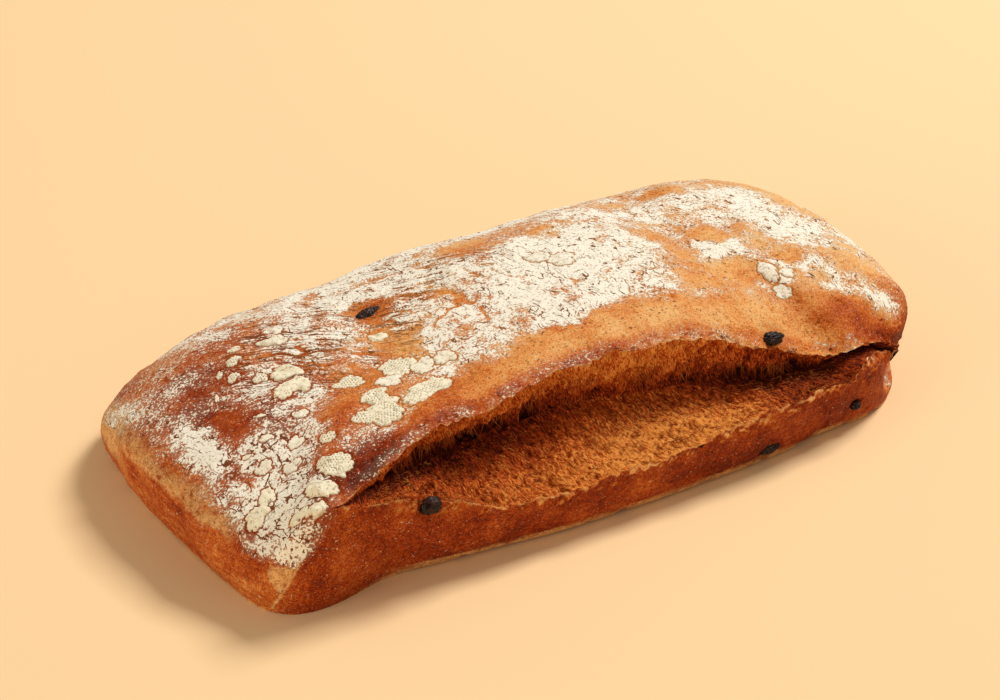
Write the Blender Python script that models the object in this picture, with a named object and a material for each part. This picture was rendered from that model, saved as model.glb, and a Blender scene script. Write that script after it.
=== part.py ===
"""Tomato ciabatta: a pillow-shaped loaf whose long front side has split open.

Units are metres and +Z is up. The loaf stands on its flat base at z = 0 with its length
along X, and the split faces -Y. The body is one solid: rings of points run round the
loaf, from the middle of the base out to the side wall, up to the lower lip of the split,
through the torn crumb to the upper lip, and over the dome to the ridge along the top.
Dry flakes of flour are joined onto the crust, and five pieces of dried tomato sit in
pockets of their own.
"""
import math
from types import SimpleNamespace

import bmesh
import bpy
import numpy as np
from mathutils import Vector
from mathutils.bvhtree import BVHTree

MM = 0.001

# Plan outline, at the widest line of the sides.
HALF_LENGTH = 132 * MM
HALF_FRONT, HALF_BACK = 71.8 * MM, 75.3 * MM
BULGE_FRONT, BULGE_BACK = 4.1 * MM, 3.2 * MM
BULGE_LEFT, BULGE_RIGHT = 10.9 * MM, 7.8 * MM
BULGE_SQUARENESS = 8
POWER_FRONT_LEFT, POWER_FRONT_RIGHT = 12.0, 4.5
POWER_BACK_LEFT, POWER_BACK_RIGHT = 8.2, 4.8

# Measures of the cross-section at eight places round the outline, in this order:
# front, front right corner, right, back right corner, back, back left corner, left,
# front left corner. A corner's measure fades into its sides within CORNER_REACH.
CORNER_REACH = 30 * MM
BASE_INSET = np.array([8.1, 5, 8.4, 9, 8, 9.3, 7.5, 1.7]) * MM
BASE_ROLL = np.array([5, 6, 6, 8, 8, 8, 6, 2]) * MM
WALL_ROLL = np.array([7, 9, 9, 9, 9, 8, 8, 8]) * MM
WALL_ROLL_LIMIT = 0.6
SEAM_HEIGHT = np.array([21, 26, 31.8, 27.7, 19.4, 6.2, 24.3, 17.8]) * MM
WALL_LEAN = np.radians([80, 80, 80, 80, 80, 75, 72, 80])
DOME_LEAN = np.radians([43.5, 54, 80, 81, 77, 79, 57, 60])
DOME_ROLL = np.array([14.8, 17.2, 18.6, 19.5, 18.5, 23, 11.5, 24]) * MM
DOME_GAIN_SHARE, DOME_GAIN_LEAST = 0.6, 3 * MM
DOME_FLATNESS = np.array([0.50, 0.49, 0.50, 0.54, 0.58, 0.68, 0.50, 0.50])

# Where the front of the base curls up: place from the middle of the front, spread, depth.
BASE_CURLS = np.array([(-99, 20, 7.2), (-62, 26, 3.4), (80, 16, 2.4)]) * MM

# Height of the ridge along the top, by place along it from the left end to the right.
RIDGE_REACH = 64 * MM
RIDGE_PLACE = np.array([-1, -0.6, -0.2, 0.2, 0.6, 1])
RIDGE_HEIGHT = np.array([48.5, 54, 59, 60.5, 60.2, 55.7]) * MM

# The split, by place along the outline from the middle of the front.
SPLIT_PLACE = np.array([-116, -96, -76, -48, -18, 20, 58, 84, 94, 103, 112, 122, 134, 150, 172]) * MM
LOWER_LIP = np.array([
    37.9, 33.6, 28.3, 19.2, 18.8, 20.6, 23.2, 22.2, 26.8, 26.4, 21.8, 16.6, 13.8, 17.5, 26,
]) * MM
LIP_LIFT = np.array([0, 9.8, 19.9, 28.7, 31.7, 29.2, 14.6, 7.2, 4.0, 4.0, 4.2, 4.0, 3.4, 2.4, 0]) * MM
LIP_SETBACK = np.array([0, 7.9, 13, 15.9, 20.6, 18.5, 12.7, 8.3, 4.5, 2.5, 1.2, 0.5, 0.3, 0.2, 0]) * MM
CREASE_DEPTH = np.array([0, 10, 20, 26, 27.5, 25, 17.5, 12.8, 9.5, 8, 7, 6, 5.5, 4.5, 0]) * MM
CREASE_RISE = np.array([0, 4, 7, 13, 14, 8.5, 3.2, 2.2, 1.4, 1.3, 1.2, 1.1, 1.0, 0.8, 0]) * MM
# Where the split comes round the right end: how far its lower lip is in from the outline,
# how much more the crust above it leans out and rolls over, and the share of that lean
# by which the wall below it is undercut.
LIP_INSET = np.array([0, 0, 0, 0, 0, 0, 0, 0, 0, 0.4, 1.0, 1.6, 2.0, 1.6, 0]) * MM
CHEEK_LEAN = np.radians([0, 0, 0, 0, 0, 0, 0, 0, 0, 0, 20, 62, 60, 34, 6])
CHEEK_ROLL = np.array([0, 0, 0, 0, 0, 0, 0, 0, 0, 0, 0, 5, 14, 8, 1]) * MM
UNDERCUT_SHARE = 0.6
SEAM_BLEND = 25 * MM
LIP_WAVE = 0.9 * MM
LIP_WAVE_LENGTH = 9 * MM
THIN_SPLIT = 4 * MM

# Spacing of the points that make the surface.
SIDE_COLUMNS = 38
END_COLUMNS = 40
WALL_ROWS = 6
BED_ROWS = 5
TORN_ROWS = 4
DOME_ROWS = 13
WELD = 0.002 * MM

# Broad swellings and dips of the dough: centre, radius and height.
SWELLINGS = np.array([
    (66, 56, 44, 26, 2.0), (134, -5, 39, 20, 1.2), (123, -56, 8, 14, -3.6),
    (-110, 60, 29, 13, -0.9), (-84, 70, 29, 13, -1.1), (-54, 67, 34, 10, 0.9),
    (-38, 62, 40, 12, -1.2), (-20, 45, 50, 12, 1.2), (8, 54, 47, 14, -1.1),
    (103, 46, 48, 14, 0.8),
]) * MM

# Unevenness of the crust and of the torn crumb.
CRUST_LUMP, CRUST_LUMP_SIZE = 1.5 * MM, 17 * MM
CRUMB_LUMP, CRUMB_LUMP_SIZE = 2.4 * MM, 8 * MM
FLOOR_CLEAR, FLOOR_FADE = 2 * MM, 7 * MM

# Flakes of dry flour: place on the top (x, y) and size (length, width) of the main ones.
MAIN_FLAKES = np.array([
    (-83, -47, 19, 12), (-68, -46, 18, 12), (-63, -20, 18, 11), (-107, -60, 11, 9),
    (-95.5, -3, 14, 11), (-88, 8, 10, 8), (-85.5, 22, 9, 7), (-114, -66, 9, 6),
    (-129, -47, 9, 7), (-49, -25, 9, 8), (-77, -17, 10, 7), (-109, -36, 9, 6),
    (9, -3, 17, 11), (78, -38, 10, 7), (33, -20, 9, 6), (-59, 2.5, 8, 6),
]) * MM
FLAKE_HEIGHT = 1.1 * MM
FLAKE_ROOT = 1.3 * MM
FLAKE_SIDES = 11
FLAKE_UNEVENNESS = 0.22
SCATTERED_FLAKES = 14
SCATTER_SEED = 7

# Pieces of dried tomato: name, centre, size along the loaf, across it and in depth,
# and the way each faces.
TOMATO_PIECES = (
    ("tomato_piece_lower_lip", (-82.6, -74.2, 29.6), (8.0, 6.4, 6.4), (0.0, -0.8, 0.6)),
    ("tomato_piece_upper_lip", (60.8, -57.6, 39.2), (11.0, 5.4, 6.0), (0.1, -0.8, 0.6)),
    ("tomato_piece_base_edge", (51.6, -71.2, 6.9), (10.5, 5.2, 5.0), (0.0, -1.0, -0.1)),
    ("tomato_piece_top", (-52.0, 15.0, 48.2), (13.0, 6.0, 5.0), (0.0, 0.0, 1.0)),
    ("tomato_piece_side", (91.2, -68.4, 10.0), (5.0, 4.0, 4.2), (0.3, -0.9, 0.1)),
)
PIECE_RINGS, PIECE_SIDES = 7, 12
PIECE_UNEVENNESS = 0.16
POCKET_GAP = 0.3 * MM

CRUST_COLOUR = (0.30, 0.085, 0.022, 1.0)
CRUST_ROUGHNESS = 0.55
TOMATO_COLOUR = (0.022, 0.012, 0.010, 1.0)
TOMATO_ROUGHNESS = 0.42


def smooth_step(value):
    """Zero below 0, one above 1 and a smooth rise between."""
    value = np.clip(value, 0, 1)
    return value * value * (3 - 2 * value)


def through(places, measures, at):
    """A smooth curve through measures at places that never overshoots them."""
    run = np.diff(places)
    rise = np.diff(measures) / run
    slope = np.zeros(len(places))
    steady = rise[1:] * rise[:-1] > 0
    total = np.where(steady, rise[1:] + rise[:-1], 1)
    slope[1:-1] = np.where(steady, 2 * rise[1:] * rise[:-1] / total, 0)
    at = np.clip(at, places[0], places[-1])
    i = np.clip(np.searchsorted(places, at) - 1, 0, len(run) - 1)
    t = (at - places[i]) / run[i]
    start = (2 * t**3 - 3 * t**2 + 1) * measures[i] + (t**3 - 2 * t**2 + t) * run[i] * slope[i]
    end = (3 * t**2 - 2 * t**3) * measures[i + 1] + (t**3 - t**2) * run[i] * slope[i + 1]
    return start + end


def bezier(points, t):
    """Points of a cubic Bezier curve at t, for a depth and a height."""
    weights = ((1 - t) ** 3, 3 * t * (1 - t) ** 2, 3 * t * t * (1 - t), t**3)
    depth = sum(w * p[0] for w, p in zip(weights, points))
    height = sum(w * p[1] for w, p in zip(weights, points))
    return depth, height


def lattice_value(i, j, k):
    """A repeatable number from 0 to 1 for each point of a whole-number lattice."""
    mixed = (i * 374761393 + j * 668265263 + k * 1274126177) & 0x7FFFFFFF
    mixed = ((mixed ^ (mixed >> 13)) * 1103515245 + 12345) & 0x7FFFFFFF
    return ((mixed ^ (mixed >> 15)) & 0xFFFF) / 65535.0


def lattice_noise(points):
    """Smooth noise from -1 to 1 at points, with lumps about one unit across."""
    cell = np.floor(points).astype(np.int64)
    x, y, z = np.moveaxis(smooth_step(points - cell), -1, 0)
    i, j, k = np.moveaxis(cell, -1, 0)
    total = 0.0
    for a in (0, 1):
        for b in (0, 1):
            for c in (0, 1):
                weight = (x if a else 1 - x) * (y if b else 1 - y) * (z if c else 1 - z)
                total = total + weight * lattice_value(i + a, j + b, k + c)
    return 2 * total - 1


def layered_noise(points):
    """Lumps with lumps half their size on them."""
    return (lattice_noise(points) + 0.5 * lattice_noise(points * 2.1 + 17.3)) / 1.5


def outline_table():
    """Dense points of the plan outline, anticlockwise from the middle of the front."""
    turn = np.linspace(-math.pi / 2, 1.5 * math.pi, 20001)
    cos, sin = np.cos(turn), np.sin(turn)
    right, front = cos >= 0, sin < 0
    power_front = np.where(right, POWER_FRONT_RIGHT, POWER_FRONT_LEFT)
    power_back = np.where(right, POWER_BACK_RIGHT, POWER_BACK_LEFT)
    power = np.where(front, power_front, power_back)
    u = np.sign(cos) * np.abs(cos) ** (2 / power)
    v = np.sign(sin) * np.abs(sin) ** (2 / power)
    near_side = BULGE_BACK * np.clip(v, 0, 1) ** BULGE_SQUARENESS
    near_side = near_side - BULGE_FRONT * np.clip(-v, 0, 1) ** BULGE_SQUARENESS
    near_end = BULGE_RIGHT * np.clip(u, 0, 1) ** BULGE_SQUARENESS
    near_end = near_end - BULGE_LEFT * np.clip(-u, 0, 1) ** BULGE_SQUARENESS
    x = HALF_LENGTH * u + (1 - v * v) * near_end
    y = np.where(front, HALF_FRONT, HALF_BACK) * v + (1 - u * u) * near_side
    along = np.concatenate([[0], np.cumsum(np.hypot(np.diff(x), np.diff(y)))])
    corners = np.interp(np.radians([-45, 45, 135, 225]), turn, along)
    return SimpleNamespace(x=x, y=y, along=along, length=along[-1], corners=corners)


def round_the_loaf(outline, place, measures):
    """A measure at each place round the outline, from its values at the eight places."""
    place = place % outline.length
    half = outline.length / 2
    offsets = [np.abs((place - c + half) % outline.length - half) for c in outline.corners]
    offsets = np.stack(offsets)
    nearest = offsets.argmin(0)
    corner_share = np.exp(-((offsets.min(0) / CORNER_REACH) ** 2))
    side = np.searchsorted(outline.corners, place) % 4
    return measures[0::2][side] * (1 - corner_share) + measures[1::2][nearest] * corner_share


def column_places(outline):
    """Places of the columns: evenly spaced by x along the sides, then round both ends."""
    x = np.linspace(-RIDGE_REACH, RIDGE_REACH, SIDE_COLUMNS + 1)
    half = len(outline.x) // 2
    ahead = (outline.y < 0) & (np.arange(len(outline.x)) < half)
    right = np.interp(x[x >= 0], outline.x[ahead], outline.along[ahead])
    behind = (outline.y < 0) & (np.arange(len(outline.x)) >= half)
    left = np.interp(x[x < 0], outline.x[behind], outline.along[behind]) - outline.length
    front = np.concatenate([left, right])
    far = outline.y > 0
    back = np.interp(x, outline.x[far][::-1], outline.along[far][::-1])[::-1]
    right_end = np.linspace(front[-1], back[0], END_COLUMNS + 1)[1:-1]
    left_end = np.linspace(back[-1], front[0] + outline.length, END_COLUMNS + 1)[1:-1]
    return np.concatenate([front, right_end, back, left_end])


def split_measures(outline, place):
    """Heights and depths of the split's lips and crease at each place."""
    half = outline.length / 2
    place = (place + half) % outline.length - half
    start, end = SPLIT_PLACE[0], SPLIT_PLACE[-1]
    near = smooth_step((place - start) / SEAM_BLEND + 1) * smooth_step((end - place) / SEAM_BLEND + 1)
    seam = round_the_loaf(outline, place, SEAM_HEIGHT)
    inside = (place > start) & (place < end)
    open_share = inside * smooth_step(through(SPLIT_PLACE, LIP_LIFT, place) / (2 * LIP_WAVE))
    wave_place = np.stack([place / LIP_WAVE_LENGTH, 0 * place, 0 * place], -1)
    wave_low = LIP_WAVE * open_share * layered_noise(wave_place)
    wave_high = LIP_WAVE * open_share * layered_noise(wave_place + 5.5)
    low = seam * (1 - near) + through(SPLIT_PLACE, LOWER_LIP, place) * near + wave_low
    lift = inside * through(SPLIT_PLACE, LIP_LIFT, place) + wave_high - wave_low
    setback = inside * through(SPLIT_PLACE, LIP_SETBACK, place)
    depth = inside * through(SPLIT_PLACE, CREASE_DEPTH, place)
    rise = inside * through(SPLIT_PLACE, CREASE_RISE, place)
    inset = inside * through(SPLIT_PLACE, LIP_INSET, place)
    return SimpleNamespace(
        low=low, lift=np.maximum(lift, 0), inset=inset, setback=inset + setback,
        depth=inset + depth, rise=rise, near=near,
        cheek_lean=near * through(SPLIT_PLACE, CHEEK_LEAN, place),
        cheek_roll=near * through(SPLIT_PLACE, CHEEK_ROLL, place),
    )


def base_curl(outline, place):
    """Extra inset of the base where its front edge curls up."""
    half = outline.length / 2
    place = (place + half) % outline.length - half
    return sum(depth * np.exp(-(((place - at) / spread) ** 2)) for at, spread, depth in BASE_CURLS)


def section_rows(outline, place, split, reach):
    """Depth from the outline and height of every row of the cross-sections."""
    inset = round_the_loaf(outline, place, BASE_INSET) + base_curl(outline, place)
    base_roll = round_the_loaf(outline, place, BASE_ROLL)
    wall_roll = np.minimum(round_the_loaf(outline, place, WALL_ROLL), WALL_ROLL_LIMIT * split.low)
    wall_lean = round_the_loaf(outline, place, WALL_LEAN) + UNDERCUT_SHARE * split.cheek_lean
    dome_lean = round_the_loaf(outline, place, DOME_LEAN) + split.cheek_lean
    ridge_place = np.clip(split.ridge_x / RIDGE_REACH, -1, 1)
    ridge = through(RIDGE_PLACE, RIDGE_HEIGHT, ridge_place)
    high = split.low + split.lift
    zero = 0 * place

    base = [(reach, zero), ((reach + inset) / 2, zero)]
    wall_curve = (
        (inset, zero),
        (inset - base_roll, zero),
        (split.inset - wall_roll * np.cos(wall_lean), split.low - wall_roll * np.sin(wall_lean)),
        (split.inset, split.low),
    )
    wall = [bezier(wall_curve, t) for t in np.linspace(0, 1, WALL_ROWS + 1)]
    bed = []
    for t in np.linspace(0, 1, BED_ROWS + 1)[1:]:
        bed_depth = split.inset + (split.depth - split.inset) * t
        bed.append((bed_depth, split.low + split.rise * (t**1.25)))
    torn = []
    for t in np.linspace(0, 1, TORN_ROWS + 1)[1:]:
        crease_to_lip = split.depth + (split.setback - split.depth) * t**1.6
        torn.append((crease_to_lip, split.low + split.rise + (split.lift - split.rise) * t))
    roll = round_the_loaf(outline, place, DOME_ROLL) + split.cheek_roll
    most_gain = DOME_GAIN_SHARE * np.maximum(ridge - high, 0) + DOME_GAIN_LEAST
    flatness = round_the_loaf(outline, place, DOME_FLATNESS)
    dome_curve = (
        (split.setback, high),
        (split.setback + roll * np.cos(dome_lean), high + np.minimum(roll * np.sin(dome_lean), most_gain)),
        (reach - flatness * (reach - split.setback), ridge),
        (reach, ridge),
    )
    dome = [bezier(dome_curve, t) for t in np.linspace(0, 1, DOME_ROWS + 1)[1:]]
    return base + wall + bed + torn + dome


def loaf_grid(outline):
    """Rows of points round the whole loaf, with the share of crust and of crumb at each."""
    place = column_places(outline)
    x = np.interp(place % outline.length, outline.along, outline.x)
    y = np.interp(place % outline.length, outline.along, outline.y)
    ridge_x = np.clip(x, -RIDGE_REACH, RIDGE_REACH)
    reach = np.hypot(x - ridge_x, y)
    inward_x, inward_y = (ridge_x - x) / reach, -y / reach
    split = split_measures(outline, place)
    split.ridge_x = ridge_x
    rows = section_rows(outline, place, split, reach)
    points = np.array([np.stack([x + inward_x * d, y + inward_y * d, z + 0 * d], -1) for d, z in rows])
    lower_lip = 2 + WALL_ROWS
    upper_lip = lower_lip + BED_ROWS + TORN_ROWS
    crust = np.ones(points.shape[:2])
    crust[lower_lip - 1:upper_lip + 2] -= 0.5 * split.near
    crust[lower_lip:upper_lip + 1] -= 0.5 * split.near
    crumb = np.zeros(points.shape[:2])
    crumb[lower_lip + 1:upper_lip] = smooth_step((split.lift - THIN_SPLIT) / (2 * THIN_SPLIT))
    return points, crust, crumb


def add_unevenness(bm, crust_layer, crumb_layer):
    """Move every point along its normal: broad lumps on the crust, close ones in the crumb."""
    bm.normal_update()
    points = np.array([v.co[:] for v in bm.verts])
    normals = np.array([v.normal[:] for v in bm.verts])
    crust = np.array([v[crust_layer] for v in bm.verts])
    crumb = np.array([v[crumb_layer] for v in bm.verts])
    above_floor = smooth_step((points[:, 2] - FLOOR_CLEAR) / FLOOR_FADE)
    crust_move = CRUST_LUMP * layered_noise(points / CRUST_LUMP_SIZE)
    for x, y, z, radius, height in SWELLINGS:
        away = np.sum((points - (x, y, z)) ** 2, axis=1)
        crust_move += height * np.exp(-away / radius**2)
    crumb_move = CRUMB_LUMP * layered_noise(points / CRUMB_LUMP_SIZE)
    move = above_floor * (crust_move * crust + crumb_move * crumb)
    for vert, moved in zip(bm.verts, points + normals * move[:, None]):
        vert.co = moved


def loaf_mesh():
    """The closed body of the loaf, before the flakes and the pockets."""
    points, crust, crumb = loaf_grid(outline_table())
    rows, columns = points.shape[:2]
    bm = bmesh.new()
    crust_layer = bm.verts.layers.float.new("crust")
    crumb_layer = bm.verts.layers.float.new("crumb")
    grid = [[bm.verts.new(points[r, c]) for c in range(columns)] for r in range(rows)]
    for r in range(rows):
        for c in range(columns):
            grid[r][c][crust_layer] = crust[r, c]
            grid[r][c][crumb_layer] = crumb[r, c]
    for r in range(rows - 1):
        for c in range(columns):
            after = (c + 1) % columns
            bm.faces.new((grid[r][c], grid[r][after], grid[r + 1][after], grid[r + 1][c]))
    bmesh.ops.remove_doubles(bm, verts=bm.verts, dist=WELD)
    bmesh.ops.recalc_face_normals(bm, faces=bm.faces)
    add_unevenness(bm, crust_layer, crumb_layer)
    bmesh.ops.triangulate(bm, faces=bm.faces)
    mesh = bpy.data.meshes.new("loaf")
    bm.to_mesh(mesh)
    bm.free()
    return mesh


def make_material(name, colour, roughness):
    """A plain Principled material."""
    material = bpy.data.materials.new(name)
    material.use_nodes = True
    shader = material.node_tree.nodes["Principled BSDF"]
    shader.inputs["Base Color"].default_value = colour
    shader.inputs["Roughness"].default_value = roughness
    shader.inputs["Metallic"].default_value = 0.0
    return material


def make_object(name, mesh, material, collection=None):
    """An object of a mesh with a smooth-shaded surface."""
    mesh.shade_smooth()
    mesh.materials.append(material)
    made = bpy.data.objects.new(name, mesh)
    (collection or bpy.context.scene.collection).objects.link(made)
    return made


def ring_solid(name, rings):
    """A closed mesh through rings of points, with a point at each end."""
    bm = bmesh.new()
    low = bm.verts.new(rings[0].mean(0))
    high = bm.verts.new(rings[-1].mean(0))
    grid = [[bm.verts.new(p) for p in ring] for ring in rings]
    count = len(grid[0])
    for c in range(count):
        after = (c + 1) % count
        bm.faces.new((low, grid[0][after], grid[0][c]))
        bm.faces.new((high, grid[-1][c], grid[-1][after]))
        for lower, upper in zip(grid, grid[1:]):
            bm.faces.new((lower[c], lower[after], upper[after], upper[c]))
    bmesh.ops.recalc_face_normals(bm, faces=bm.faces)
    bmesh.ops.triangulate(bm, faces=bm.faces)
    mesh = bpy.data.meshes.new(name)
    bm.to_mesh(mesh)
    bm.free()
    return mesh


def flake_places(generator):
    """The main flakes, then smaller ones scattered over the floured part of the top."""
    places = [tuple(flake) for flake in MAIN_FLAKES]
    while len(places) < len(MAIN_FLAKES) + SCATTERED_FLAKES:
        x = generator.uniform(-112, 95) * MM
        y = generator.uniform(-45, 30) * MM
        size = generator.uniform(5.5, 8.5) * MM
        if all(math.hypot(x - p[0], y - p[1]) > (size + p[2]) / 2 + 1 * MM for p in places):
            places.append((x, y, size, size * generator.uniform(0.65, 0.9)))
    return places


def flake_rings(crust, generator, x, y, length, width):
    """Rings of a flake that lies on the crust, with its root just under the surface."""
    turn = np.arange(FLAKE_SIDES) * 2 * math.pi / FLAKE_SIDES
    wobble = 1 + FLAKE_UNEVENNESS * generator.uniform(-1, 1, FLAKE_SIDES)
    heading = generator.uniform(0, math.pi)
    across = np.stack([length / 2 * np.cos(turn) * wobble, width / 2 * np.sin(turn) * wobble], -1)
    spin = np.array([[math.cos(heading), math.sin(heading)], [-math.sin(heading), math.cos(heading)]])
    across = across @ spin
    rings = []
    for share, height in ((1.0, -FLAKE_ROOT), (1.0, 0.55 * FLAKE_HEIGHT), (0.86, FLAKE_HEIGHT)):
        ring = []
        for dx, dy in across * share:
            above = Vector((x + dx, y + dy, 1.0))
            spot, normal, _, _ = crust.ray_cast(above, Vector((0, 0, -1)))
            ring.append(spot + normal * height)
        rings.append(np.array([p[:] for p in ring]))
    return rings


def add_flakes(loaf):
    """Join the flakes of flour to the loaf by one union and remove their objects."""
    crust = BVHTree.FromPolygons(
        [v.co for v in loaf.data.vertices], [p.vertices[:] for p in loaf.data.polygons]
    )
    generator = np.random.default_rng(SCATTER_SEED)
    flakes = bpy.data.collections.new("flour_flakes")
    bpy.context.scene.collection.children.link(flakes)
    material = loaf.data.materials[0]
    for number, place in enumerate(flake_places(generator)):
        rings = flake_rings(crust, generator, *place)
        name = f"flake_{number + 1}"
        make_object(name, ring_solid(name, rings), material, flakes)
    union = loaf.modifiers.new("flakes", "BOOLEAN")
    union.operation = "UNION"
    union.operand_type = "COLLECTION"
    union.collection = flakes
    union.solver = "EXACT"
    apply_modifiers(loaf)
    for flake in list(flakes.objects):
        bpy.data.objects.remove(flake)
    bpy.data.collections.remove(flakes)


def apply_modifiers(target):
    """Keep the shape that the modifiers give and drop them."""
    bpy.context.view_layer.update()
    evaluated = target.evaluated_get(bpy.context.evaluated_depsgraph_get())
    shaped = bpy.data.meshes.new_from_object(evaluated)
    target.modifiers.clear()
    target.data = shaped


def piece_rings(size, facing, centre, grow, seed):
    """Rings of an uneven, flattened ellipsoid whose depth runs along the way it faces."""
    generator = np.random.default_rng(seed)
    depth_axis = np.array(Vector(facing).normalized())
    along = np.cross(depth_axis, (0.0, 1.0, 0.0) if abs(depth_axis[2]) > 0.9 else (0.0, 0.0, 1.0))
    along = along / np.linalg.norm(along) * np.sign(along[0])
    across = np.cross(depth_axis, along)
    phase = generator.uniform(0, 2 * math.pi, 3)
    turn = np.arange(PIECE_SIDES) * 2 * math.pi / PIECE_SIDES
    rings = []
    for level in np.linspace(0, math.pi, PIECE_RINGS + 2)[1:-1]:
        lump = 1 + PIECE_UNEVENNESS * (
            np.sin(2 * turn + phase[0]) * math.sin(level)
            + 0.6 * np.sin(3 * turn + phase[1] + 2 * level)
        ) * math.sin(level)
        half = np.array(size) / 2 * MM + grow
        flat = math.sin(level) * lump
        ring = (
            np.outer(half[0] * flat * np.cos(turn), along)
            + np.outer(half[1] * flat * np.sin(turn), across)
            - half[2] * math.cos(level) * depth_axis
        )
        rings.append(ring + np.array(centre) * MM)
    return rings


def add_tomato_pieces(loaf, material):
    """Cut a pocket for each piece of tomato and set the piece in it."""
    for seed, (name, centre, size, facing) in enumerate(TOMATO_PIECES):
        pocket_name = f"pocket_{seed + 1}"
        pocket_shape = piece_rings(size, facing, centre, POCKET_GAP, seed)
        pocket = make_object(pocket_name, ring_solid(pocket_name, pocket_shape), material)
        cut = loaf.modifiers.new(pocket_name, "BOOLEAN")
        cut.operation = "DIFFERENCE"
        cut.object = pocket
        cut.solver = "EXACT"
        apply_modifiers(loaf)
        bpy.data.objects.remove(pocket)
        shape = piece_rings(size, facing, centre, 0.0, seed)
        make_object(name, ring_solid(name, shape), material)


def centre_on_origin():
    """Move everything so that the loaf's bounding box is centred over the origin."""
    loaf = bpy.data.objects["loaf"]
    corners = np.array([v.co[:] for v in loaf.data.vertices])
    middle = (corners.min(0) + corners.max(0)) / 2
    for made in bpy.context.scene.objects:
        for vert in made.data.vertices:
            vert.co.x -= middle[0]
            vert.co.y -= middle[1]


def main():
    """Build the loaf with its flakes of flour and its pieces of tomato."""
    for old in list(bpy.data.objects):
        bpy.data.objects.remove(old)
    crust_material = make_material("crust", CRUST_COLOUR, CRUST_ROUGHNESS)
    tomato_material = make_material("dried_tomato", TOMATO_COLOUR, TOMATO_ROUGHNESS)
    loaf = make_object("loaf", loaf_mesh(), crust_material)
    add_flakes(loaf)
    add_tomato_pieces(loaf, tomato_material)
    centre_on_origin()


main()
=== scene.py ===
"""Looks of a tomato ciabatta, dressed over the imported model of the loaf.

The skin of the loaf is one sheet of points, worked out from the same sizes as the solid:
rows run from the middle of the base out to the side wall, up to the lower lip of the
split, over the torn crumb to the upper lip, and over the dome to the ridge. Relief moves
the points along their normals, and fields such as flour and browning are kept with every
point, so that the finishes can follow them. All sizes in the classes are millimetres.
"""
import logging
import math
from dataclasses import dataclass, field
from enum import IntEnum
from functools import reduce
from typing import Iterable, Sequence

import bpy
import numpy as np
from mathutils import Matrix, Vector


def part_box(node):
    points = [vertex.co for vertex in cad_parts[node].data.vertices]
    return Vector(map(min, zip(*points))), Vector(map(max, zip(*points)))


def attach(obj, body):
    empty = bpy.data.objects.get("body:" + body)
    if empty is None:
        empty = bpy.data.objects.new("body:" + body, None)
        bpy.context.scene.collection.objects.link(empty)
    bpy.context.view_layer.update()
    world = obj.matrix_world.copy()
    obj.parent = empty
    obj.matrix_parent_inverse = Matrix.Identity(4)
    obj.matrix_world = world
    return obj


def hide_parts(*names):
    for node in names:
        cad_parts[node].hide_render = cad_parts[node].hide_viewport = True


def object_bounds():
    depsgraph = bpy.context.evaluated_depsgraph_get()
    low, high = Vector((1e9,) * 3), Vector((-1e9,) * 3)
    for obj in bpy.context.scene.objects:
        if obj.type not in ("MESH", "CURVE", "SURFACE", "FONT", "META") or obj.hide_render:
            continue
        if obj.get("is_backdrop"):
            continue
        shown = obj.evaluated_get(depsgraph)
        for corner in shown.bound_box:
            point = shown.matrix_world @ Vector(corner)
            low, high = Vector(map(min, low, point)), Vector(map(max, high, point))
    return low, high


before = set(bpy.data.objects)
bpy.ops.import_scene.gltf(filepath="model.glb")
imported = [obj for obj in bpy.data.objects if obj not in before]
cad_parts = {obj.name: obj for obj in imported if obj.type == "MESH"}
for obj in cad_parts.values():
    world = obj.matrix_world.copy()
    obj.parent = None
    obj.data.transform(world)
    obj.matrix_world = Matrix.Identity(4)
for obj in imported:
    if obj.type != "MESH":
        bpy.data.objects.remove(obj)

Array = np.ndarray
Pair = tuple[float, float]
Triple = tuple[float, float, float]
Row = tuple[float, ...]
Colour = Triple
Material = bpy.types.Material
Socket = bpy.types.NodeSocket
Piece = bpy.types.Object
Number = Socket | float
Paint = Socket | Colour
Stops = tuple[tuple[float, Colour], ...]

LOG = logging.getLogger("tomato_ciabatta")
METRES = 0.001
MOST_FLOUR = 1.15
FIBRE_SLANT = 0.35
PICTURE_TURN = -32.0
UP = np.array([0.0, 0.0, 1.0])


# Numbers.


def smooth_step(value: Array, low: float = 0.0, high: float = 1.0) -> Array:
    """Zero below low, one above high, and 3t^2 - 2t^3 between.

    Args:
        value: numbers to shape.
        low: where the rise starts.
        high: where the rise ends.

    Returns:
        Numbers from 0 to 1.
    """
    t = np.clip((value - low) / (high - low), 0.0, 1.0)
    return t * t * (3.0 - 2.0 * t)


def hump(value: Array, width: float) -> Array:
    """One at zero, falling off both ways as exp(-(value / width)^2)."""
    return np.exp(-((value / width) ** 2))


def through(places: Sequence[float], measures: Sequence[float], at: Array) -> Array:
    """Cubic curve through measures at places, with slopes that never overshoot them.

    Args:
        places: rising places of the measures.
        measures: the measure at each place.
        at: where the curve is read.

    Returns:
        The curve's value at each of at.
    """
    places, measures = np.asarray(places, float), np.asarray(measures, float)
    run = np.diff(places)
    rise = np.diff(measures) / run
    slope = np.zeros(len(places))
    steady = rise[1:] * rise[:-1] > 0
    total = np.where(steady, rise[1:] + rise[:-1], 1)
    slope[1:-1] = np.where(steady, 2 * rise[1:] * rise[:-1] / total, 0)
    at = np.clip(at, places[0], places[-1])
    i = np.clip(np.searchsorted(places, at) - 1, 0, len(run) - 1)
    t = (at - places[i]) / run[i]
    start = (2 * t**3 - 3 * t**2 + 1) * measures[i] + (t**3 - 2 * t**2 + t) * run[i] * slope[i]
    end = (3 * t**2 - 2 * t**3) * measures[i + 1] + (t**3 - t**2) * run[i] * slope[i + 1]
    return start + end


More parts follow.
